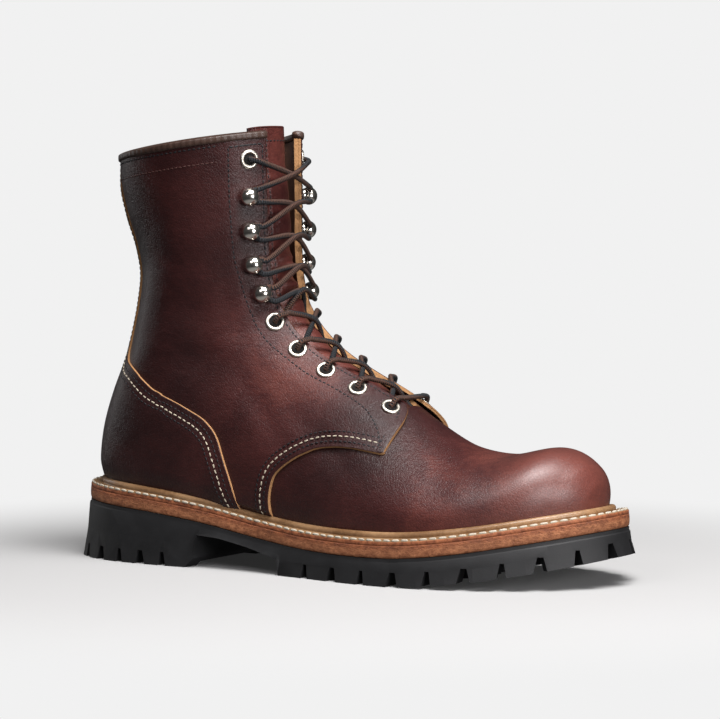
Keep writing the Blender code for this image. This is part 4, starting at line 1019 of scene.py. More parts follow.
def counterSheet(side):
    rows = np.linspace(counter["start"], counter["stop"], 1200)
    walk = walkAlong(onLast(rows, counterPlaces(side, 0.0, rows), side))
    u = np.interp(np.linspace(0, walk[-1], counter["rows"]), walk, rows)
    # one row stands just above the heel's corner, where the foot line turns up the back
    u[np.abs(u - heelCorner).argmin()] = heelCorner + counter["cornerGap"]
    across = np.linspace(0, 1, counter["columns"]) ** 1.2
    v = counterPlaces(side, across[None, :], u[:, None])
    u = np.broadcast_to(u[:, None], v.shape)
    base, normal = onLast(u, v, side), lastNormal(u, v, side)
    top = counterTop(u, v, side)
    bottom = np.minimum(counter["base"], top - 0.0008)
    return base, normal, top, bottom, np.zeros(u.shape)


panel("counterPanel", [rimmed(counterSheet(side), [(1, 0)], counter["rimInset"]) for side in (-1, 1)],
      counterLeather, ("counter",), {"redness": redness})
print("counter made")

# Welt: a raised rim along the upper and a flat strip outside it

welt = {"count": 150, "rimWidth": 0.0033, "rimTop": 0.0060, "rimRound": 0.0018, "edgeMargin": 0.0001,
        "frontGap": 0.0010, "heelGap": 0.0022, "counterRib": 0.490, "seamShare": 0.84, "seamSink": 0.0004}
weltFoot = levelRing(0.0, 0.0, welt["count"])
weltOut = levelRing(0.0, 1.0, welt["count"]) - weltFoot
weltSeat = (seatHeight(weltFoot[:, 0]) + sole["clearance"])[:, None]
weltEdge = soleRing(sole["midMargin"] + welt["edgeMargin"], welt["count"],
                    lambda x: seatHeight(x) + sole["clearance"])


def weltGap():
    # from the last to the rim, wider where the counter stands between them
    counterX = float(onLast(welt["counterRib"], 1.0, -1)[0])
    behind = 1 - ease(counterX - 0.012, counterX + 0.008, weltFoot[:, 0])
    return (welt["frontGap"] + (welt["heelGap"] - welt["frontGap"]) * behind)[:, None]


def weltRing(sideways, height):
    # sideways in metres from the rim's inner face, height over the seat
    run = weltFoot + weltOut * (weltGap() + sideways)
    run[:, 2:] = weltSeat + height
    return run


def stripRing(share, height):
    # share of the way from the rim's outer foot to the strip's edge
    inner = weltRing(welt["rimWidth"], 0.0)
    run = inner + (weltEdge - inner) * share
    run[:, 2:] = weltSeat + (weltEdge[:, 2:] - weltSeat) * share + height
    return run


stripRows = [
    (0.03, 0.0004, 0.1), (0.10, 0.0002, 0.2), (0.30, 0.0, 0.3), (0.50, -0.0001, 0.4), (0.64, -0.0002, 0.5),
    (0.74, -0.0003, 0.5), (0.84, -0.0005, 0.5), (0.93, -0.0008, 0.6), (0.98, -0.0012, 0.9), (1.0, -0.0018, 1.0),
    (1.0, 0.0006 - sole["stripThickness"], 1.0), (1.0, -0.0005 - sole["stripThickness"], 1.0),
    (0.96, -0.0005 - sole["stripThickness"], 1.0),
]  # share across the strip, height over its top, level for the finish


def weltGrid():
    # rings over the rim and the strip, round its edge and back underneath, with the finish's level of each
    rings = [weltRing(0.0, 0.0)]
    for turn in np.linspace(math.pi, -0.25 * math.pi, 11):
        rings.append(weltRing(welt["rimWidth"] * (0.5 + 0.5 * math.cos(turn)),
                              welt["rimTop"] + welt["rimRound"] * (math.sin(turn) - 1)))
    levels = [0.0] * len(rings) + [level for share, height, level in stripRows] + [0.0]
    rings += [stripRing(share, sole["stripThickness"] + height) for share, height, level in stripRows]
    grid = np.stack(rings + rings[:1])
    grid = np.concatenate([grid, grid[:, :1]], axis=1)
    return grid, np.broadcast_to(np.array(levels)[:, None], grid.shape[:2])


weltRings, weltLevels = weltGrid()
solidOf("weltStrip", [weltRings], stripLeather, ("welt",), [weltLevels])
print("welt made")

# Midsole edge

midsole = {"rows": 15, "flare": 0.0004, "flareShare": 0.25, "belly": 0.0002, "gap": 0.0001}


def midRing(level, margin):
    thick = sole["midThickness"] - midsole["gap"]
    return soleRing(margin, welt["count"], lambda x: deckHeight(x) + sole["clearance"] + thick * level)


def capGrid(ring):
    # strips across the sole from one side to the other
    half = welt["count"]
    left = ring[:half]
    right = np.concatenate([ring[:1], ring[half:][::-1], ring[half - 1:half]])
    return np.stack([left, left * 0.7 + right * 0.3, left * 0.3 + right * 0.7, right], axis=1)


def midsoleGrids():
    # the edge tapers in below and bulges a little, and is closed by caps; the levels are the finish's
    levels = np.linspace(0, 1, midsole["rows"])
    margins = (sole["midMargin"] + midsole["flare"] * np.clip(1 - levels / midsole["flareShare"], 0, 1) ** 2
               - midsole["belly"] * np.sin(levels * math.pi))
    wall = np.stack([midRing(level, margin) for level, margin in zip(levels, margins)])
    closed = np.concatenate([wall, wall[:, :1]], axis=1)
    low, high = capGrid(wall[0]), capGrid(wall[-1])
    marks = [np.broadcast_to(levels[:, None], closed.shape[:2]), np.zeros(low.shape[:2]), np.ones(high.shape[:2])]
    return [closed, low, high], marks


midGrids, midLevels = midsoleGrids()
solidOf("midsoleEdge", midGrids, russet, ("midsole",), midLevels)
print("midsole made")


# Tongue

tongue = {"rows": 150, "topRows": 8, "columns": 61, "first": 0.316, "thick": 0.0024, "overlap": 0.0070,
          "rise": 0.0034, "cornerDrop": 0.25, "pad": 0.0016, "padFrom": 0.52, "padPitch": 0.078, "fold": 0.0016,
          "foldAt": 0.775, "turnedBack": 0.0050, "seam": 0.0004, "headroom": 0.0014, "rimInset": 0.0009}
tongueHalf = last["throatHalf"] + tongue["overlap"]


def tongueFace(u):
    # depth of the tongue's outer face under the last
    return np.interp(u, [0.90, 0.955], [-0.0032, -0.0050])


def tongueTop(u, mm):
    # height of the tongue's face over the last, at a distance in millimetres from the centre line:
    # soft pads between the crossings, a fold, the turned-back inner edge at the top and a seam's bead
    face = tongueFace(u) + 0 * mm
    pads = tongue["pad"] * np.sin((u - tongue["padFrom"]) * 2 * math.pi / tongue["padPitch"])
    pads = pads * ease(0.45, 0.60, u) * (1 - ease(0.80, 0.92, u)) * np.exp(-(mm / 11) ** 2)
    fold = np.exp(-((u - tongue["foldAt"] - 0.0006 * mm) / 0.006) ** 2) * np.exp(-((mm - 2) / 9) ** 2)
    back = ease(6.5, 13.0, mm) * ease(0.66, 0.80, u)
    seam = np.exp(-((mm + 10.5) / 0.8) ** 2) * ease(0.62, 0.66, u)
    height = face + pads - tongue["fold"] * fold - tongue["turnedBack"] * back + tongue["seam"] * seam
    return np.minimum(height, face + tongue["headroom"])


def tongueSheet():
    # rows up the throat, the last ones rising past the collar with rounded corners
    across = np.linspace(-1, 1, tongue["columns"])
    u = np.concatenate([np.linspace(tongue["first"], 1.0, tongue["rows"]), np.ones(tongue["topRows"])])
    rise = np.concatenate([np.zeros(tongue["rows"]), np.linspace(0, tongue["rise"], tongue["topRows"])])
    reach = tongueHalf * np.interp(u, [tongue["first"], 0.396], [0.6, 1.0])
    base = np.empty((len(u), len(across), 3))
    normal = np.empty_like(base)
    for side in (-1, 1):
        picked = across * side >= 0
        v = (reach / girthOf(u, side))[:, None] * np.abs(across[picked])
        places = np.broadcast_to(u[:, None], v.shape)
        base[:, picked] = onLast(places, v, side)
        normal[:, picked] = lastNormal(places, v, side)
    up = unit(onLast(1.0, 0.0, 1) - onLast(0.97, 0.0, 1))
    base += up * (rise[:, None] * (1 - tongue["cornerDrop"] * across ** 4))[..., None]
    top = tongueTop(u[:, None], across[None, :] * tongueHalf * 1000)
    return base, normal, top, top - tongue["thick"], np.zeros(top.shape)


panel("tongueSheet", [rimmed(tongueSheet(), [(0, 1), (1, 0), (1, 1)], tongue["rimInset"], 0.0)],
      tongueLeather, ("tongue",), {"redness": redness})
print("tongue made")

# Collar binding: a soft roll over the top edge

binding = {"count": 220, "depth": 0.0027, "roll": 0.0012, "outside": 0.0008, "within": 0.0010}


def belowCollar(depth, v, side):
    # rib place at a distance below the collar's edge
    rise = onLast(1.0, v, side) - onLast(0.99, v, side)
    return 1 - 0.01 * depth / np.linalg.norm(rise, axis=-1)


def rollHalf(side, depth, offset, rise):
    # one side's line of the roll, from the throat to the back; its outside ripples a little
    v = np.linspace(float(throatEdge(1.0, side)), 1.0, binding["count"])
    points = onLast(belowCollar(depth, v, side), v, side)
    up = unit(onLast(1.0, v, side) - onLast(0.97, v, side))
    ripple = 0.00010 * np.sin(v * 260 + side) + 0.00008 * np.sin(v * 611)
    away = offset + ripple * (offset > 0)
    return points + lastNormal(np.ones_like(v), v, side) * away[:, None] + up * rise


def collarGrids():
    # the roll's section is depth below the edge, offset from the last and rise over the edge
    depth = binding["depth"]
    outside = last["layer"] + binding["outside"]
    within = -last["wall"] - binding["within"]
    middle, half = (outside + within) / 2, (outside - within) / 2
    section = [(depth * 1.05, last["layer"] - 0.0002, 0), (depth, outside - 0.0004, 0),
               (depth * 0.85, outside, 0), (depth * 0.5, outside + 0.0001, 0)]
    for turn in np.linspace(0, math.pi, 11):
        section.append((0.0, middle + half * math.cos(turn), binding["roll"] * math.sin(turn)))
    section += [(depth, within, 0), (depth * 1.05, within + 0.0008, 0)]
    lines = []
    for row in section + section[:1]:
        outerHalf, innerHalf = rollHalf(-1, *row), rollHalf(1, *row)
        lines.append(np.vstack([outerHalf, innerHalf[::-1][1:]]))
    body = np.stack(lines)
    pairs = (len(section) + 1) // 2
    caps = [np.stack([ring[:pairs], ring[::-1][:pairs]]) for ring in (body[:-1, 0], body[:-1, -1])]
    return [body] + caps


solidOf("collarRoll", collarGrids(), tapeFinish, ("collar_binding",))
print("binding made")

# Metalwork

metal = {"outer": 0.0050, "hole": 0.0029, "height": 0.0010, "sunk": 0.0012, "ball": 0.0047, "flattened": 0.92,
         "plate": 0.0043, "tall": 0.0090, "lean": math.radians(24.0)}


def facingSpot(row, side):
    # centre, outward, up-lace and throat directions at a lace row
    rib, fromThroat = row[0], row[1]
    v = float(throatEdge(rib, side)) + fromThroat / float(girthOf(rib, side))
    height = float(quarterTop(np.array(rib), np.array(v), side))
    here = onLast(rib, v, side, height)
    up = unit(onLast(rib + 0.006, v, side, height) - here)
    inward = onLast(rib, v - 0.02, side, height) - here
    inward = unit(inward - up * inward.dot(up))
    return here, np.cross(up, inward) * side, up, inward


def turnedPiece(name, profile, place, axis, front, finish, replaced, sides=48):
    # body of revolution: radius and height rows of a profile turned about the axis
    right = unit(np.cross(axis, front))
    ahead = np.cross(right, axis)
    angle = np.linspace(0, 2 * math.pi, sides + 1)[:, None]
    ray = right * np.cos(angle) + ahead * np.sin(angle)
    ray[-1] = ray[0]
    profile = np.array(profile)
    grid = place + axis * profile[:, 1, None, None] + ray[None] * profile[:, 0, None, None]
    solidOf(name, [grid], finish, replaced)


def eyelet(tag, here, outward, up):
    # a turned rim, and a near-black disc in its hole as painted shade
    middle = (metal["outer"] + metal["hole"]) / 2
    half = (metal["outer"] - metal["hole"]) / 2
    rim = [(middle + half * math.cos(t), metal["height"] * math.sin(t) ** 0.8)
           for t in np.linspace(0, math.pi, 13)]
    foot = [(metal["hole"] + 0.0001, -metal["sunk"]), (metal["outer"] - 0.0006, -metal["sunk"])]
    turnedPiece("eyeletRim_" + tag, rim + foot + rim[:1], here, outward, up, satinNickel, ("eyelet_" + tag,))
    # painted shade: a near-black disc a little wider than the hole stands in it
    wide = metal["hole"] + 0.0003
    shadeDisc = [(0, -0.0006), (wide, -0.0006), (wide, 0.00022), (0, 0.00022)]
    turnedPiece("eyeletWell_" + tag, shadeDisc, here, outward, up, holeShadeFinish, (), 24)


def ballHook(tag, here, axis, up):
    # plate, neck and flattened ball
    tall = metal["ball"] * metal["flattened"]
    dome = [(metal["ball"] * math.cos(t), metal["tall"] - tall + tall * math.sin(t))
            for t in np.linspace(-0.72, math.pi / 2, 15)]
    dome[-1] = (0, metal["tall"])
    wide = metal["plate"] * 0.85
    plate = [(0, -0.0010), (wide, -0.0010), (wide, 0.0013), (metal["plate"] * 0.8, 0.0017)]
    neck = [(0.0023, 0.0021), (0.0019, 0.0026), (0.0022, 0.0031)]
    turnedPiece("hookBall_" + tag, plate + neck + dome, here, axis, up, nickel, ("hook_" + tag,))


spots = {}
for order, row in enumerate(laceRows):
    for side in (-1, 1):
        here, outward, up, inward = facingSpot(row, side)
        tag = "%s_%d" % (sideWords[side], order + 1)
        axis = outward
        if row[2] == "eyelet":
            eyelet(tag, here, outward, up)
        else:
            axis = outward * math.cos(metal["lean"]) - inward * math.sin(metal["lean"])
            ballHook(tag, here, axis, up)
        spots[order, side] = (here, outward, up, inward, axis)
print("metalwork made")

# Lace: points chosen from the hole, hook and facing places

lace = {"radius": 0.00145, "sides": 14, "step": 0.0006, "flat": 0.86, "tip": 0.55, "gap": 0.0002,
        "overLift": 0.0016, "highLift": 0.0017}
laceAt = lace["radius"] + lace["gap"]
holeAt = laceAt + metal["height"] * 0.9
crossNames = ["lace_cross_%d" % k for k in range(1, 10)]


def smoothPath(points, step):
    # Catmull-Rom curve through the points at even steps
    points = np.array(points)
    padded = np.vstack([2 * points[0] - points[1], points, 2 * points[-1] - points[-2]])
    t = np.linspace(0, len(points) - 1 - 1e-9, (len(points) - 1) * 40)
    i = t.astype(int)
    f = (t - i)[:, None]
    a, b, c, d = (padded[i + k] for k in range(4))
    fine = b + 0.5 * f * (c - a + f * (2 * a - 5 * b + 4 * c - d + f * (3 * (b - c) + d - a)))
    walk = walkAlong(fine)
    wanted = np.linspace(0, walk[-1], max(int(walk[-1] / step), 8))
    return readLine(wanted, walk, fine), wanted


def cordPiece(name, points, outs, replaced=()):
    # round cord along a path: its frame follows the outward directions given at the points
    path, walk = smoothPath(points, lace["step"])
    ahead = unit(np.gradient(path, axis=0))
    away = readLine(np.linspace(0, 1, len(path)), np.linspace(0, 1, len(points)), np.array(outs))
    away = unit(away - ahead * np.sum(away * ahead, axis=1)[:, None])
    across = np.cross(ahead, away)
    angle = np.linspace(0, 2 * math.pi, lace["sides"] + 1)[None, :, None]
    ring = across[:, None] * np.cos(angle) + away[:, None] * (np.sin(angle) * lace["flat"])
    girth = np.full(len(path), lace["radius"])
    girth[[0, -1]] *= lace["tip"]
    grid = path[:, None] + ring * girth[:, None, None]
    count, columns = grid.shape[:2]
    uv = np.stack([np.repeat(walk, columns), np.tile(np.linspace(0, 1, columns), count)], -1)
    low = count * columns
    step = np.arange(columns - 1)
    near = np.column_stack([step + 1, step, np.full(columns - 1, low)])
    far = np.column_stack([low - columns + step, low - columns + step + 1, np.full(columns - 1, low + 1)])
    ends = [path[0] - ahead[0] * 0.0004, path[-1] + ahead[-1] * 0.0004]
    points = np.vstack([grid.reshape(-1, 3), ends])
    uv = np.vstack([uv, [[walk[0], 0], [walk[-1], 0]]])
    piece = addPiece(name, points, [gridFaces(count, columns), near, far], braid, replaced, uv=uv)
    outwards(piece.data)


def facingPoint(order, side, beyond, height, along=0.0):
    # point by a facing: beyond metres from the hole towards the throat, height over the leather
    u = laceRows[order][0] + along
    edge, girth = float(throatEdge(u, side)), float(girthOf(u, side))
    v = edge + (laceRows[order][1] - beyond) / girth
    lift = float(quarterTop(np.array(u), np.array(max(v, edge)), side))
    return onLast(u, v, side, lift + height)


def centrePoint(order, share, side, height):
    # point over the tongue's middle, at a share of the way from one lace row to the next
    place = laceRows[order][0] + (laceRows[order + 1][0] - laceRows[order][0]) * share
    return onLast(place, 0.0, side, float(tongueFace(place)) + height)


def barStrand():
    # bottom bar: over both facings and down into the lowest holes
    points, outs = [], []
    for side in (-1, 1):
        here, outward, up, inward, axis = spots[0, side]
        chain = [here - outward * 0.0006, here + outward * 0.0016 + inward * 0.0005,
                 here + outward * (holeAt + 0.0008) + inward * 0.0032,
                 facingPoint(0, side, 0.0066, laceAt + 0.0003),
                 facingPoint(0, side, 0.0095, laceAt - 0.0004, -0.002)]
        points += chain if side < 0 else chain[::-1]
        outs += [outward] * len(chain)
    cordPiece("laceBar", points, outs, ("lace_bar",))


def lowStrand(order, side):
    # from a hole over its own facing, across the tongue and under the other facing
    here, outward, up, inward, axis = spots[order, side]
    over = lace["overLift"] if side < 0 else 0.0
    other = spots[order - 1, -side][1]
    chain = [here - outward * 0.0010, here + outward * 0.0012 + inward * 0.0006,
             here + outward * (holeAt + 0.0008) + inward * 0.0030,
             facingPoint(order, side, 0.0062, laceAt + 0.0004, -0.001),
             facingPoint(order, side, 0.0092, laceAt - 0.0010, -0.004),
             centrePoint(order - 1, 0.48, side, laceAt + 0.0012 + over),
             facingPoint(order - 1, -side, 0.0090, -0.0052, 0.010),
             facingPoint(order - 1, -side, 0.0040, -0.0064, 0.004)]
    outs = [outward] * 5 + [outward + other, other, other]
    cordPiece("laceLow_%d_%s" % (order, sideWords[side]), chain, outs, crossNames if order == 1 else ())


def roundHook(here, outward, up, inward, axis):
    # in from the throat below a hook, round the back of its neck and out above it
    level = here + outward * (laceAt + 0.0016) + axis * 0.0004
    reach = 0.0019 + lace["radius"] + 0.0001
    turns = [(0.0062, -0.0038), (0.0020, -0.95 * reach), (-0.75 * reach, -0.72 * reach), (-1.05 * reach, 0.0),
             (-0.75 * reach, 0.72 * reach), (0.0020, 0.95 * reach), (0.0062, 0.0038)]
    return [level + inward * sideways + up * upwards for sideways, upwards in turns]


def highStrand(start):
    # from under a low facing round the hooks, side by side in turn, to a top eyelet
    side = start
    outward = spots[4, side][1]
    chain = [facingPoint(4, side, 0.0040, -0.0064, 0.004), facingPoint(4, side, 0.0095, -0.0050, 0.014)]
    outs = [outward] * 2
    for order in range(5, 10):
        over = lace["highLift"] if side < 0 else 0.0001
        rise = {5: 0.0022, 9: 0.0045}.get(order, 0.0036)
        chain.append(centrePoint(order - 1, 0.5, side, laceAt + rise + over))
        outs.append(outward + spots[order, -side][1])
        side = -side
        here, outward, up, inward, axis = spots[order, side]
        if order < 9:
            turns = roundHook(here, outward, up, inward, axis)
        else:
            turns = [facingPoint(9, side, 0.0068, laceAt + 0.0010, -0.008),
                     here + outward * (holeAt + 0.0009) + inward * 0.0032 - up * 0.0010,
                     here + outward * 0.0012 + inward * 0.0004, here - outward * 0.0010]
        chain += turns
        outs += [outward] * len(turns)
    cordPiece("laceHigh_" + sideWords[start], chain, outs)


barStrand()
for order in range(1, 5):
    for side in (-1, 1):
        lowStrand(order, side)
for side in (-1, 1):
    highStrand(side)
print("lace made")

# Stitches: small rounded bars along lines on a surface

stitchForms = {
    "dark": {"slot": "upper", "pitch": 0.0026, "size": (0.00180, 0.00082, 0.00028), "finish": darkThread},
    "tongue": {"slot": "tongue", "pitch": 0.0026, "size": (0.00180, 0.00070, 0.00024), "finish": darkThread},
    "cream": {"slot": "upper", "pitch": 0.0031, "size": (0.00215, 0.00085, 0.00034), "finish": paleThread},
    "tone": {"slot": "upper", "pitch": 0.0024, "size": (0.00180, 0.00070, 0.00022), "finish": redThread},
    "strip": {"slot": "welt", "pitch": 0.0050, "size": (0.00400, 0.00095, 0.00068), "finish": rawThread},
}  # size: length, width and height over the surface
stitch = {"rings": 5, "sides": 8, "square": 0.55, "tilt": 0.10}


def capsule():
    # a bar of half-length, half-width and height 1: rings along x, closed by poles
    rings, sides = stitch["rings"], stitch["sides"]
    turn = np.linspace(-math.pi / 2, math.pi / 2, rings + 2)[1:-1]
    girth = np.repeat(np.cos(turn) ** stitch["square"], sides)
    angle = np.tile(np.linspace(0, 2 * math.pi, sides, endpoint=False), rings)
    body = np.stack([np.repeat(np.sin(turn), sides), np.cos(angle) * girth, np.sin(angle) * girth], -1)
    points = np.vstack([body, [[-1, 0, 0], [1, 0, 0]]])
    k = np.arange(sides)
    ahead = (k + 1) % sides
    top = (rings - 1) * sides
    low = np.column_stack([ahead, k, np.full(sides, len(body))])
    high = np.column_stack([top + k, top + ahead, np.full(sides, len(body) + 1)])
    return points, gridFaces(rings, sides, wrapColumns=True), np.vstack([low, high])


capsulePoints, capsuleQuads, capsuleThrees = capsule()


def stitchPlaces(line, outs, pitch):
    # centre, direction ahead and outward direction of stitches at even distances along a line
    walk = walkAlong(line)
    count = max(int(walk[-1] / pitch), 1)
    at = (np.arange(count) + 0.5) * walk[-1] / count
    ahead = readLine(at + 0.0004, walk, line) - readLine(at - 0.0004, walk, line)
    return readLine(at, walk, line), ahead, readLine(at, walk, outs)


def stitchPiece(name, runs, kind):
    # runs: points along a line and outward directions; each stitch leans a little, by a sine of its number
    form = stitchForms[kind]
    places = [stitchPlaces(line, outs, form["pitch"]) for line, outs in runs]
    here, ahead, outward = (np.concatenate(field) for field in zip(*places))
    ahead = unit(ahead)
    outward = unit(outward - ahead * np.sum(outward * ahead, axis=1)[:, None])
    across = np.cross(ahead, outward)
    ahead = ahead + across * (stitch["tilt"] * np.sin(np.arange(len(here)) * 2.4)[:, None])
    length, width, height = form["size"]
    local = capsulePoints * [length / 2, width / 2, height]
    points = (here[:, None] + ahead[:, None] * local[None, :, :1] + across[:, None] * local[None, :, 1:2]
              + outward[:, None] * local[None, :, 2:])
    starts = (np.arange(len(here)) * len(capsulePoints))[:, None, None]
    quads = (capsuleQuads[None] + starts).reshape(-1, 4)
    threes = (capsuleThrees[None] + starts).reshape(-1, 3)
    addPiece(name, points.reshape(-1, 3), [quads, threes], form["finish"])


seams = {"cream": 0.0057, "beside": (0.0030, 0.0084), "edge": 0.0042, "edgeFrom": 0.125, "edgeTo": 0.4600,
         "tip": 0.4745, "collar": 0.0044, "belowCollar": 0.0125, "collarStart": 0.13, "throat": 2.6,
         "throatFrom": 0.372, "boxTop": 0.985, "boxFrom": 19.5, "boxTo": 36.8}
eyestay = [
    (0.985, 36.8), (0.940, 36.6), (0.888, 36.4), (0.830, 35.6), (0.775, 33.2), (0.720, 32.0), (0.667, 31.2),
    (0.575, 29.6), (0.517, 27.0), (0.475, 26.0), (0.432, 24.9), (0.405, 25.4), (0.383, 27.0), (0.370, 29.8),
    (0.358, 33.6), (0.351, 37.5),
]  # rib place, millimetres from the centre line


def surfaceRun(u, v, side, height):
    return onLast(u, v, side, height), lastNormal(u, v, side)


def quarterRun(rows, side, count=160):
    # rows of rib place and millimetres from the centre, laid on the quarter
    rows = np.array(rows, float)
    walk = walkAlong(rows * [400, 1])
    at = np.linspace(0, walk[-1], count)
    u, mm = smoothCurve(walk, rows[:, 0], at), smoothCurve(walk, rows[:, 1], at)
    v = mm / 1000 / girthOf(u, side)
    fromThroat = (v - throatEdge(u, side)) * girthOf(u, side)
    top = quarterTop(u, v, side) + relief(onLast(u, v, side), side) + eyestayRidge(fromThroat)
    return surfaceRun(u, v, side, top)


def beside(u, v, side, gone, turn):
    # places at a distance to one side of a line: the step is solved in the surface's two directions
    line = onLast(u, v, side)
    ahead = unit(np.gradient(line, axis=0))
    step = np.cross(ahead, lastNormal(u, v, side)) * turn * gone
    reach = 0.002
    above = np.clip(v + reach, 0, 1)
    alongU = (onLast(u + reach, v, side) - onLast(u - reach, v, side)) / (2 * reach)
    alongV = (onLast(u, above, side) - onLast(u, v - reach, side)) / (above - v + reach)[:, None]
    uu, vv, uv = (np.sum(a * b, axis=1) for a, b in ((alongU, alongU), (alongV, alongV), (alongU, alongV)))
    du, dv = np.sum(alongU * step, axis=1), np.sum(alongV * step, axis=1)
    even = uu * vv - uv * uv
    newU, newV = u + (du * vv - dv * uv) / even, v + (dv * uu - du * uv) / even
    keep = (newV < 0.999) & (newU < 0.999) & (newU > 0)
    newU, newV = newU[keep], newV[keep]
    # points that run backwards inside a tight bend go, and the rest are evened out
    moved = onLast(newU, newV, side)
    forward = np.ones(len(moved), bool)
    forward[1:-1] = np.sum((moved[2:] - moved[:-2]) * ahead[keep][1:-1], axis=1) > 0
    newU, newV = newU[forward], newV[forward]
    for k in range(400):
        newU[1:-1] = newU[1:-1] * 0.5 + (newU[:-2] + newU[2:]) * 0.25
        newV[1:-1] = newV[1:-1] * 0.5 + (newV[:-2] + newV[2:]) * 0.25
    return newU, newV


def seamRun(side, gone, low, high=1.0):
    # row behind the quarter's front edge between two girth shares
    v = np.linspace(low, high, 600)
    u, v = beside(frontLine(v, side), v, side, gone, -side)
    return surfaceRun(u, v, side, quarterTop(u, v, side))


def counterRun(side, gone):
    u = np.linspace(counter["start"] - 0.002, counter["stop"] - 0.002, 900)
    u, v = beside(u, counterPlaces(side, 0.0, u), side, gone, side)
    return surfaceRun(u, v, side, counterTop(u, v, side))


def collarRun(side, depth):
    v = np.linspace(float(throatEdge(1.0, side)) + seams["collarStart"], 1.0, 300)
    u = belowCollar(depth, v, side)
    return surfaceRun(u, v, side, quarterTop(u, v, side))


def throatRows(side):
    # up along the throat's edge, then across below the collar, where the seam is sewn twice
    u = np.linspace(seams["throatFrom"], seams["boxTop"], 200)
    mm = throatEdge(u, side) * girthOf(u, side) * 1000 + seams["throat"]
    top, back = seams["boxTop"], seams["boxTo"]
    rows = [[(top, seams["boxFrom"]), (top, back)], np.column_stack([u, mm]), [(top, float(mm[-1])), (top, back)]]
    return [quarterRun(row, side) for row in rows]


def darkRuns(side):
    runs = [quarterRun(eyestay, side)] + throatRows(side)
    runs += [seamRun(side, gone, seams["tip"]) for gone in seams["beside"]]
    runs.append(seamRun(side, seams["edge"], seams["edgeFrom"], seams["edgeTo"]))
    runs += [counterRun(side, gone) for gone in seams["beside"]]
    return runs + [collarRun(side, seams["collar"])]


def creamRuns(side):
    return [seamRun(side, seams["cream"], seams["tip"]), counterRun(side, seams["cream"])]


def tongueRuns():
    # one row along the tongue's outer part and one below its top
    u = np.linspace(0.66, 0.993, 200)
    runs = [surfaceRun(u, 0.0116 / girthOf(u, -1), -1, tongueTop(u, -11.6))]
    for side, reach in ((-1, 16.0), (1, 7.0)):
        mm = np.linspace(0, reach, 60)
        u = np.full_like(mm, 0.988)
        runs.append(surfaceRun(u, mm / 1000 / girthOf(u, side), side, tongueTop(u, side * mm)))
    return runs


def stripRun():
    line = stripRing(welt["seamShare"], sole["stripThickness"] - welt["seamSink"])
    line = np.vstack([line, line[:1]])
    return line, np.tile([0.0, 0.0, 1.0], (len(line), 1))


stitchPiece("darkStitches", darkRuns(-1) + darkRuns(1), "dark")
stitchPiece("tongueStitches", tongueRuns(), "tongue")
stitchPiece("creamStitches", creamRuns(-1) + creamRuns(1), "cream")
stitchPiece("toneStitches", [collarRun(side, seams["belowCollar"]) for side in (-1, 1)], "tone")
stitchPiece("stripStitches", [stripRun()], "strip")
print("stitches made")

# Outsole: a merged copy of the CAD shape with smooth flanks and softened edges

outsoleForm = {"merge": 0.000002, "flat": math.radians(1.0), "sharp": math.radians(30.0), "bevel": 0.00045,
               "segments": 2}


def outsoleCopy():
    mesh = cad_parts["outsole"].data.copy()
    work = bmesh.new()
    work.from_mesh(mesh)
    bmesh.ops.remove_doubles(work, verts=work.verts, dist=outsoleForm["merge"])
    bmesh.ops.dissolve_limit(work, angle_limit=outsoleForm["flat"], verts=work.verts, edges=work.edges)
    work.to_mesh(mesh)
    work.free()
    mesh.materials.clear()
    mesh.materials.append(rubber)
    mesh.polygons.foreach_set("use_smooth", np.full(len(mesh.polygons), True))
    mesh.set_sharp_from_angle(angle=outsoleForm["sharp"])
    return mesh


outsolePiece = bpy.data.objects.new("outsoleRubber", outsoleCopy())
bpy.context.scene.collection.objects.link(outsolePiece)
soften = outsolePiece.modifiers.new("soften", "BEVEL")
soften.width = outsoleForm["bevel"]
soften.segments = outsoleForm["segments"]
soften.limit_method = "ANGLE"
soften.angle_limit = outsoleForm["sharp"]
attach(outsolePiece, "root")
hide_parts("outsole")
print("outsole made")

# Insole: the CAD board keeps its shape and gets its finish

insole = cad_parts["insole"]
insole.data.materials.clear()
insole.data.materials.append(boardFinish)


# Stage

stage = {"floor": 0.48, "unseenFloor": 0.12, "nearGlow": 0.02, "bounce": 0.03, "backdrop": 0.88, "fill": 0.04,
         "floorSize": 8.0, "middle": (0.11, 0.0, 0.10), "nearBlend": 0.17, "farBlend": 0.40}
lamps = {
    "key": {"place": (0.64, -0.36, 1.33), "size": (0.9, 0.8), "power": 35.0, "colour": (1.0, 0.985, 0.98)},
    "side": {"place": (1.35, -0.62, 0.30), "size": (0.5, 0.5), "power": 10.0, "colour": (1.0, 0.98, 0.99)},
    "rim": {"place": (-1.25, 0.10, 0.35), "size": (0.3, 0.8), "power": 1.9, "colour": (1.0, 1.0, 1.0)},
    "front": {"place": (0.05, -1.05, 0.95), "size": (0.5, 0.4), "power": 2.4, "colour": (1.0, 0.98, 1.0)},
}
shot = {"place": (0.9832, -1.4300, 0.2082), "down": math.radians(3.46), "turn": math.radians(30.98),
        "lens": 164.0, "sensor": 36.0}


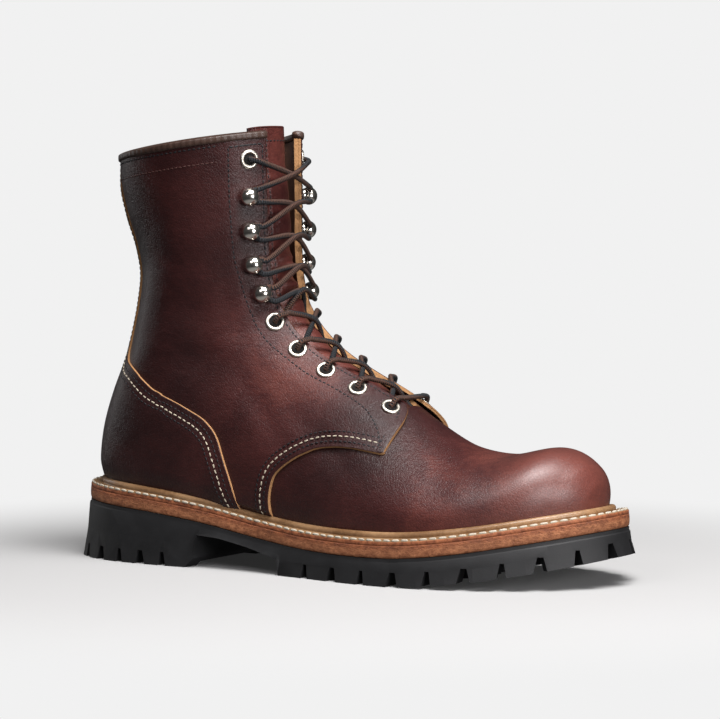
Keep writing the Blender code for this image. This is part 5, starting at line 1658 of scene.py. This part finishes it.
def floorFinish():
    # lit paint near the boot and the backdrop's glow further off; rays from the boot meet a darker floor,
    # so that its reflection doesn't grey the leather
    f = Finish("floorPaint")
    middle = (*stage["middle"][:2], 0.0)
    apart = f.add("ShaderNodeVectorMath", {"operation": "DISTANCE"}, {0: f.objectPlace(), 1: middle}, 1)
    away = f.clamp(apart, stage["nearBlend"], stage["farBlend"])
    seen = f.add("ShaderNodeLightPath")
    glow = f.blend(away, (stage["nearGlow"],) * 3, (stage["backdrop"],) * 3)
    grey = f.blend(seen, (stage["unseenFloor"],) * 3, (stage["floor"],) * 3)
    f.set(Base_Color=f.blend(away, grey, (0.0, 0.0, 0.0)), Roughness=0.9, Specular_IOR_Level=0.0)
    f.set(Emission_Color=f.blend(seen, (stage["bounce"],) * 3, glow), Emission_Strength=1.0)
    return f.material


def areaLight(name, lamp):
    data = bpy.data.lights.new(name, "AREA")
    data.shape = "RECTANGLE"
    data.size, data.size_y = lamp["size"]
    data.energy = lamp["power"]
    data.color = lamp["colour"]
    light = bpy.data.objects.new(name, data)
    bpy.context.scene.collection.objects.link(light)
    light.location = lamp["place"]
    way = Vector(stage["middle"]) - Vector(lamp["place"])
    light.rotation_mode = "QUATERNION"
    light.rotation_quaternion = way.to_track_quat("-Z", "Y")


def backdropWorld():
    # the camera sees a bright backdrop, and the boot gets only a little light from it
    world = bpy.data.worlds.new("studio")
    bpy.context.scene.world = world
    world.use_nodes = True
    nodes, links = world.node_tree.nodes, world.node_tree.links
    ray = nodes.new("ShaderNodeLightPath")
    level = nodes.new("ShaderNodeMapRange")
    level.inputs["To Min"].default_value = stage["fill"]
    level.inputs["To Max"].default_value = stage["backdrop"]
    links.new(ray.outputs["Is Camera Ray"], level.inputs["Value"])
    nodes["Background"].inputs["Color"].default_value = (1, 1, 1, 1)
    links.new(level.outputs["Result"], nodes["Background"].inputs["Strength"])


reach = stage["floorSize"]
floorMesh = bpy.data.meshes.new("floor")
floorMesh.from_pydata([(-reach, -reach, 0), (reach, -reach, 0), (reach, reach, 0), (-reach, reach, 0)], [],
                      [(0, 1, 2, 3)])
floorMesh.materials.append(floorFinish())
floor = bpy.data.objects.new("floor", floorMesh)
bpy.context.scene.collection.objects.link(floor)
backdropWorld()
bpy.context.scene.view_settings.view_transform = "Standard"
for name, lamp in lamps.items():
    areaLight(name, lamp)

camera = bpy.data.cameras.new("camera")
camera.lens = shot["lens"]
camera.sensor_width = shot["sensor"]
cameraObject = bpy.data.objects.new("camera", camera)
bpy.context.scene.collection.objects.link(cameraObject)
cameraObject.location = shot["place"]
cameraObject.rotation_euler = (math.pi / 2 - shot["down"], 0, shot["turn"])
bpy.context.scene.camera = cameraObject
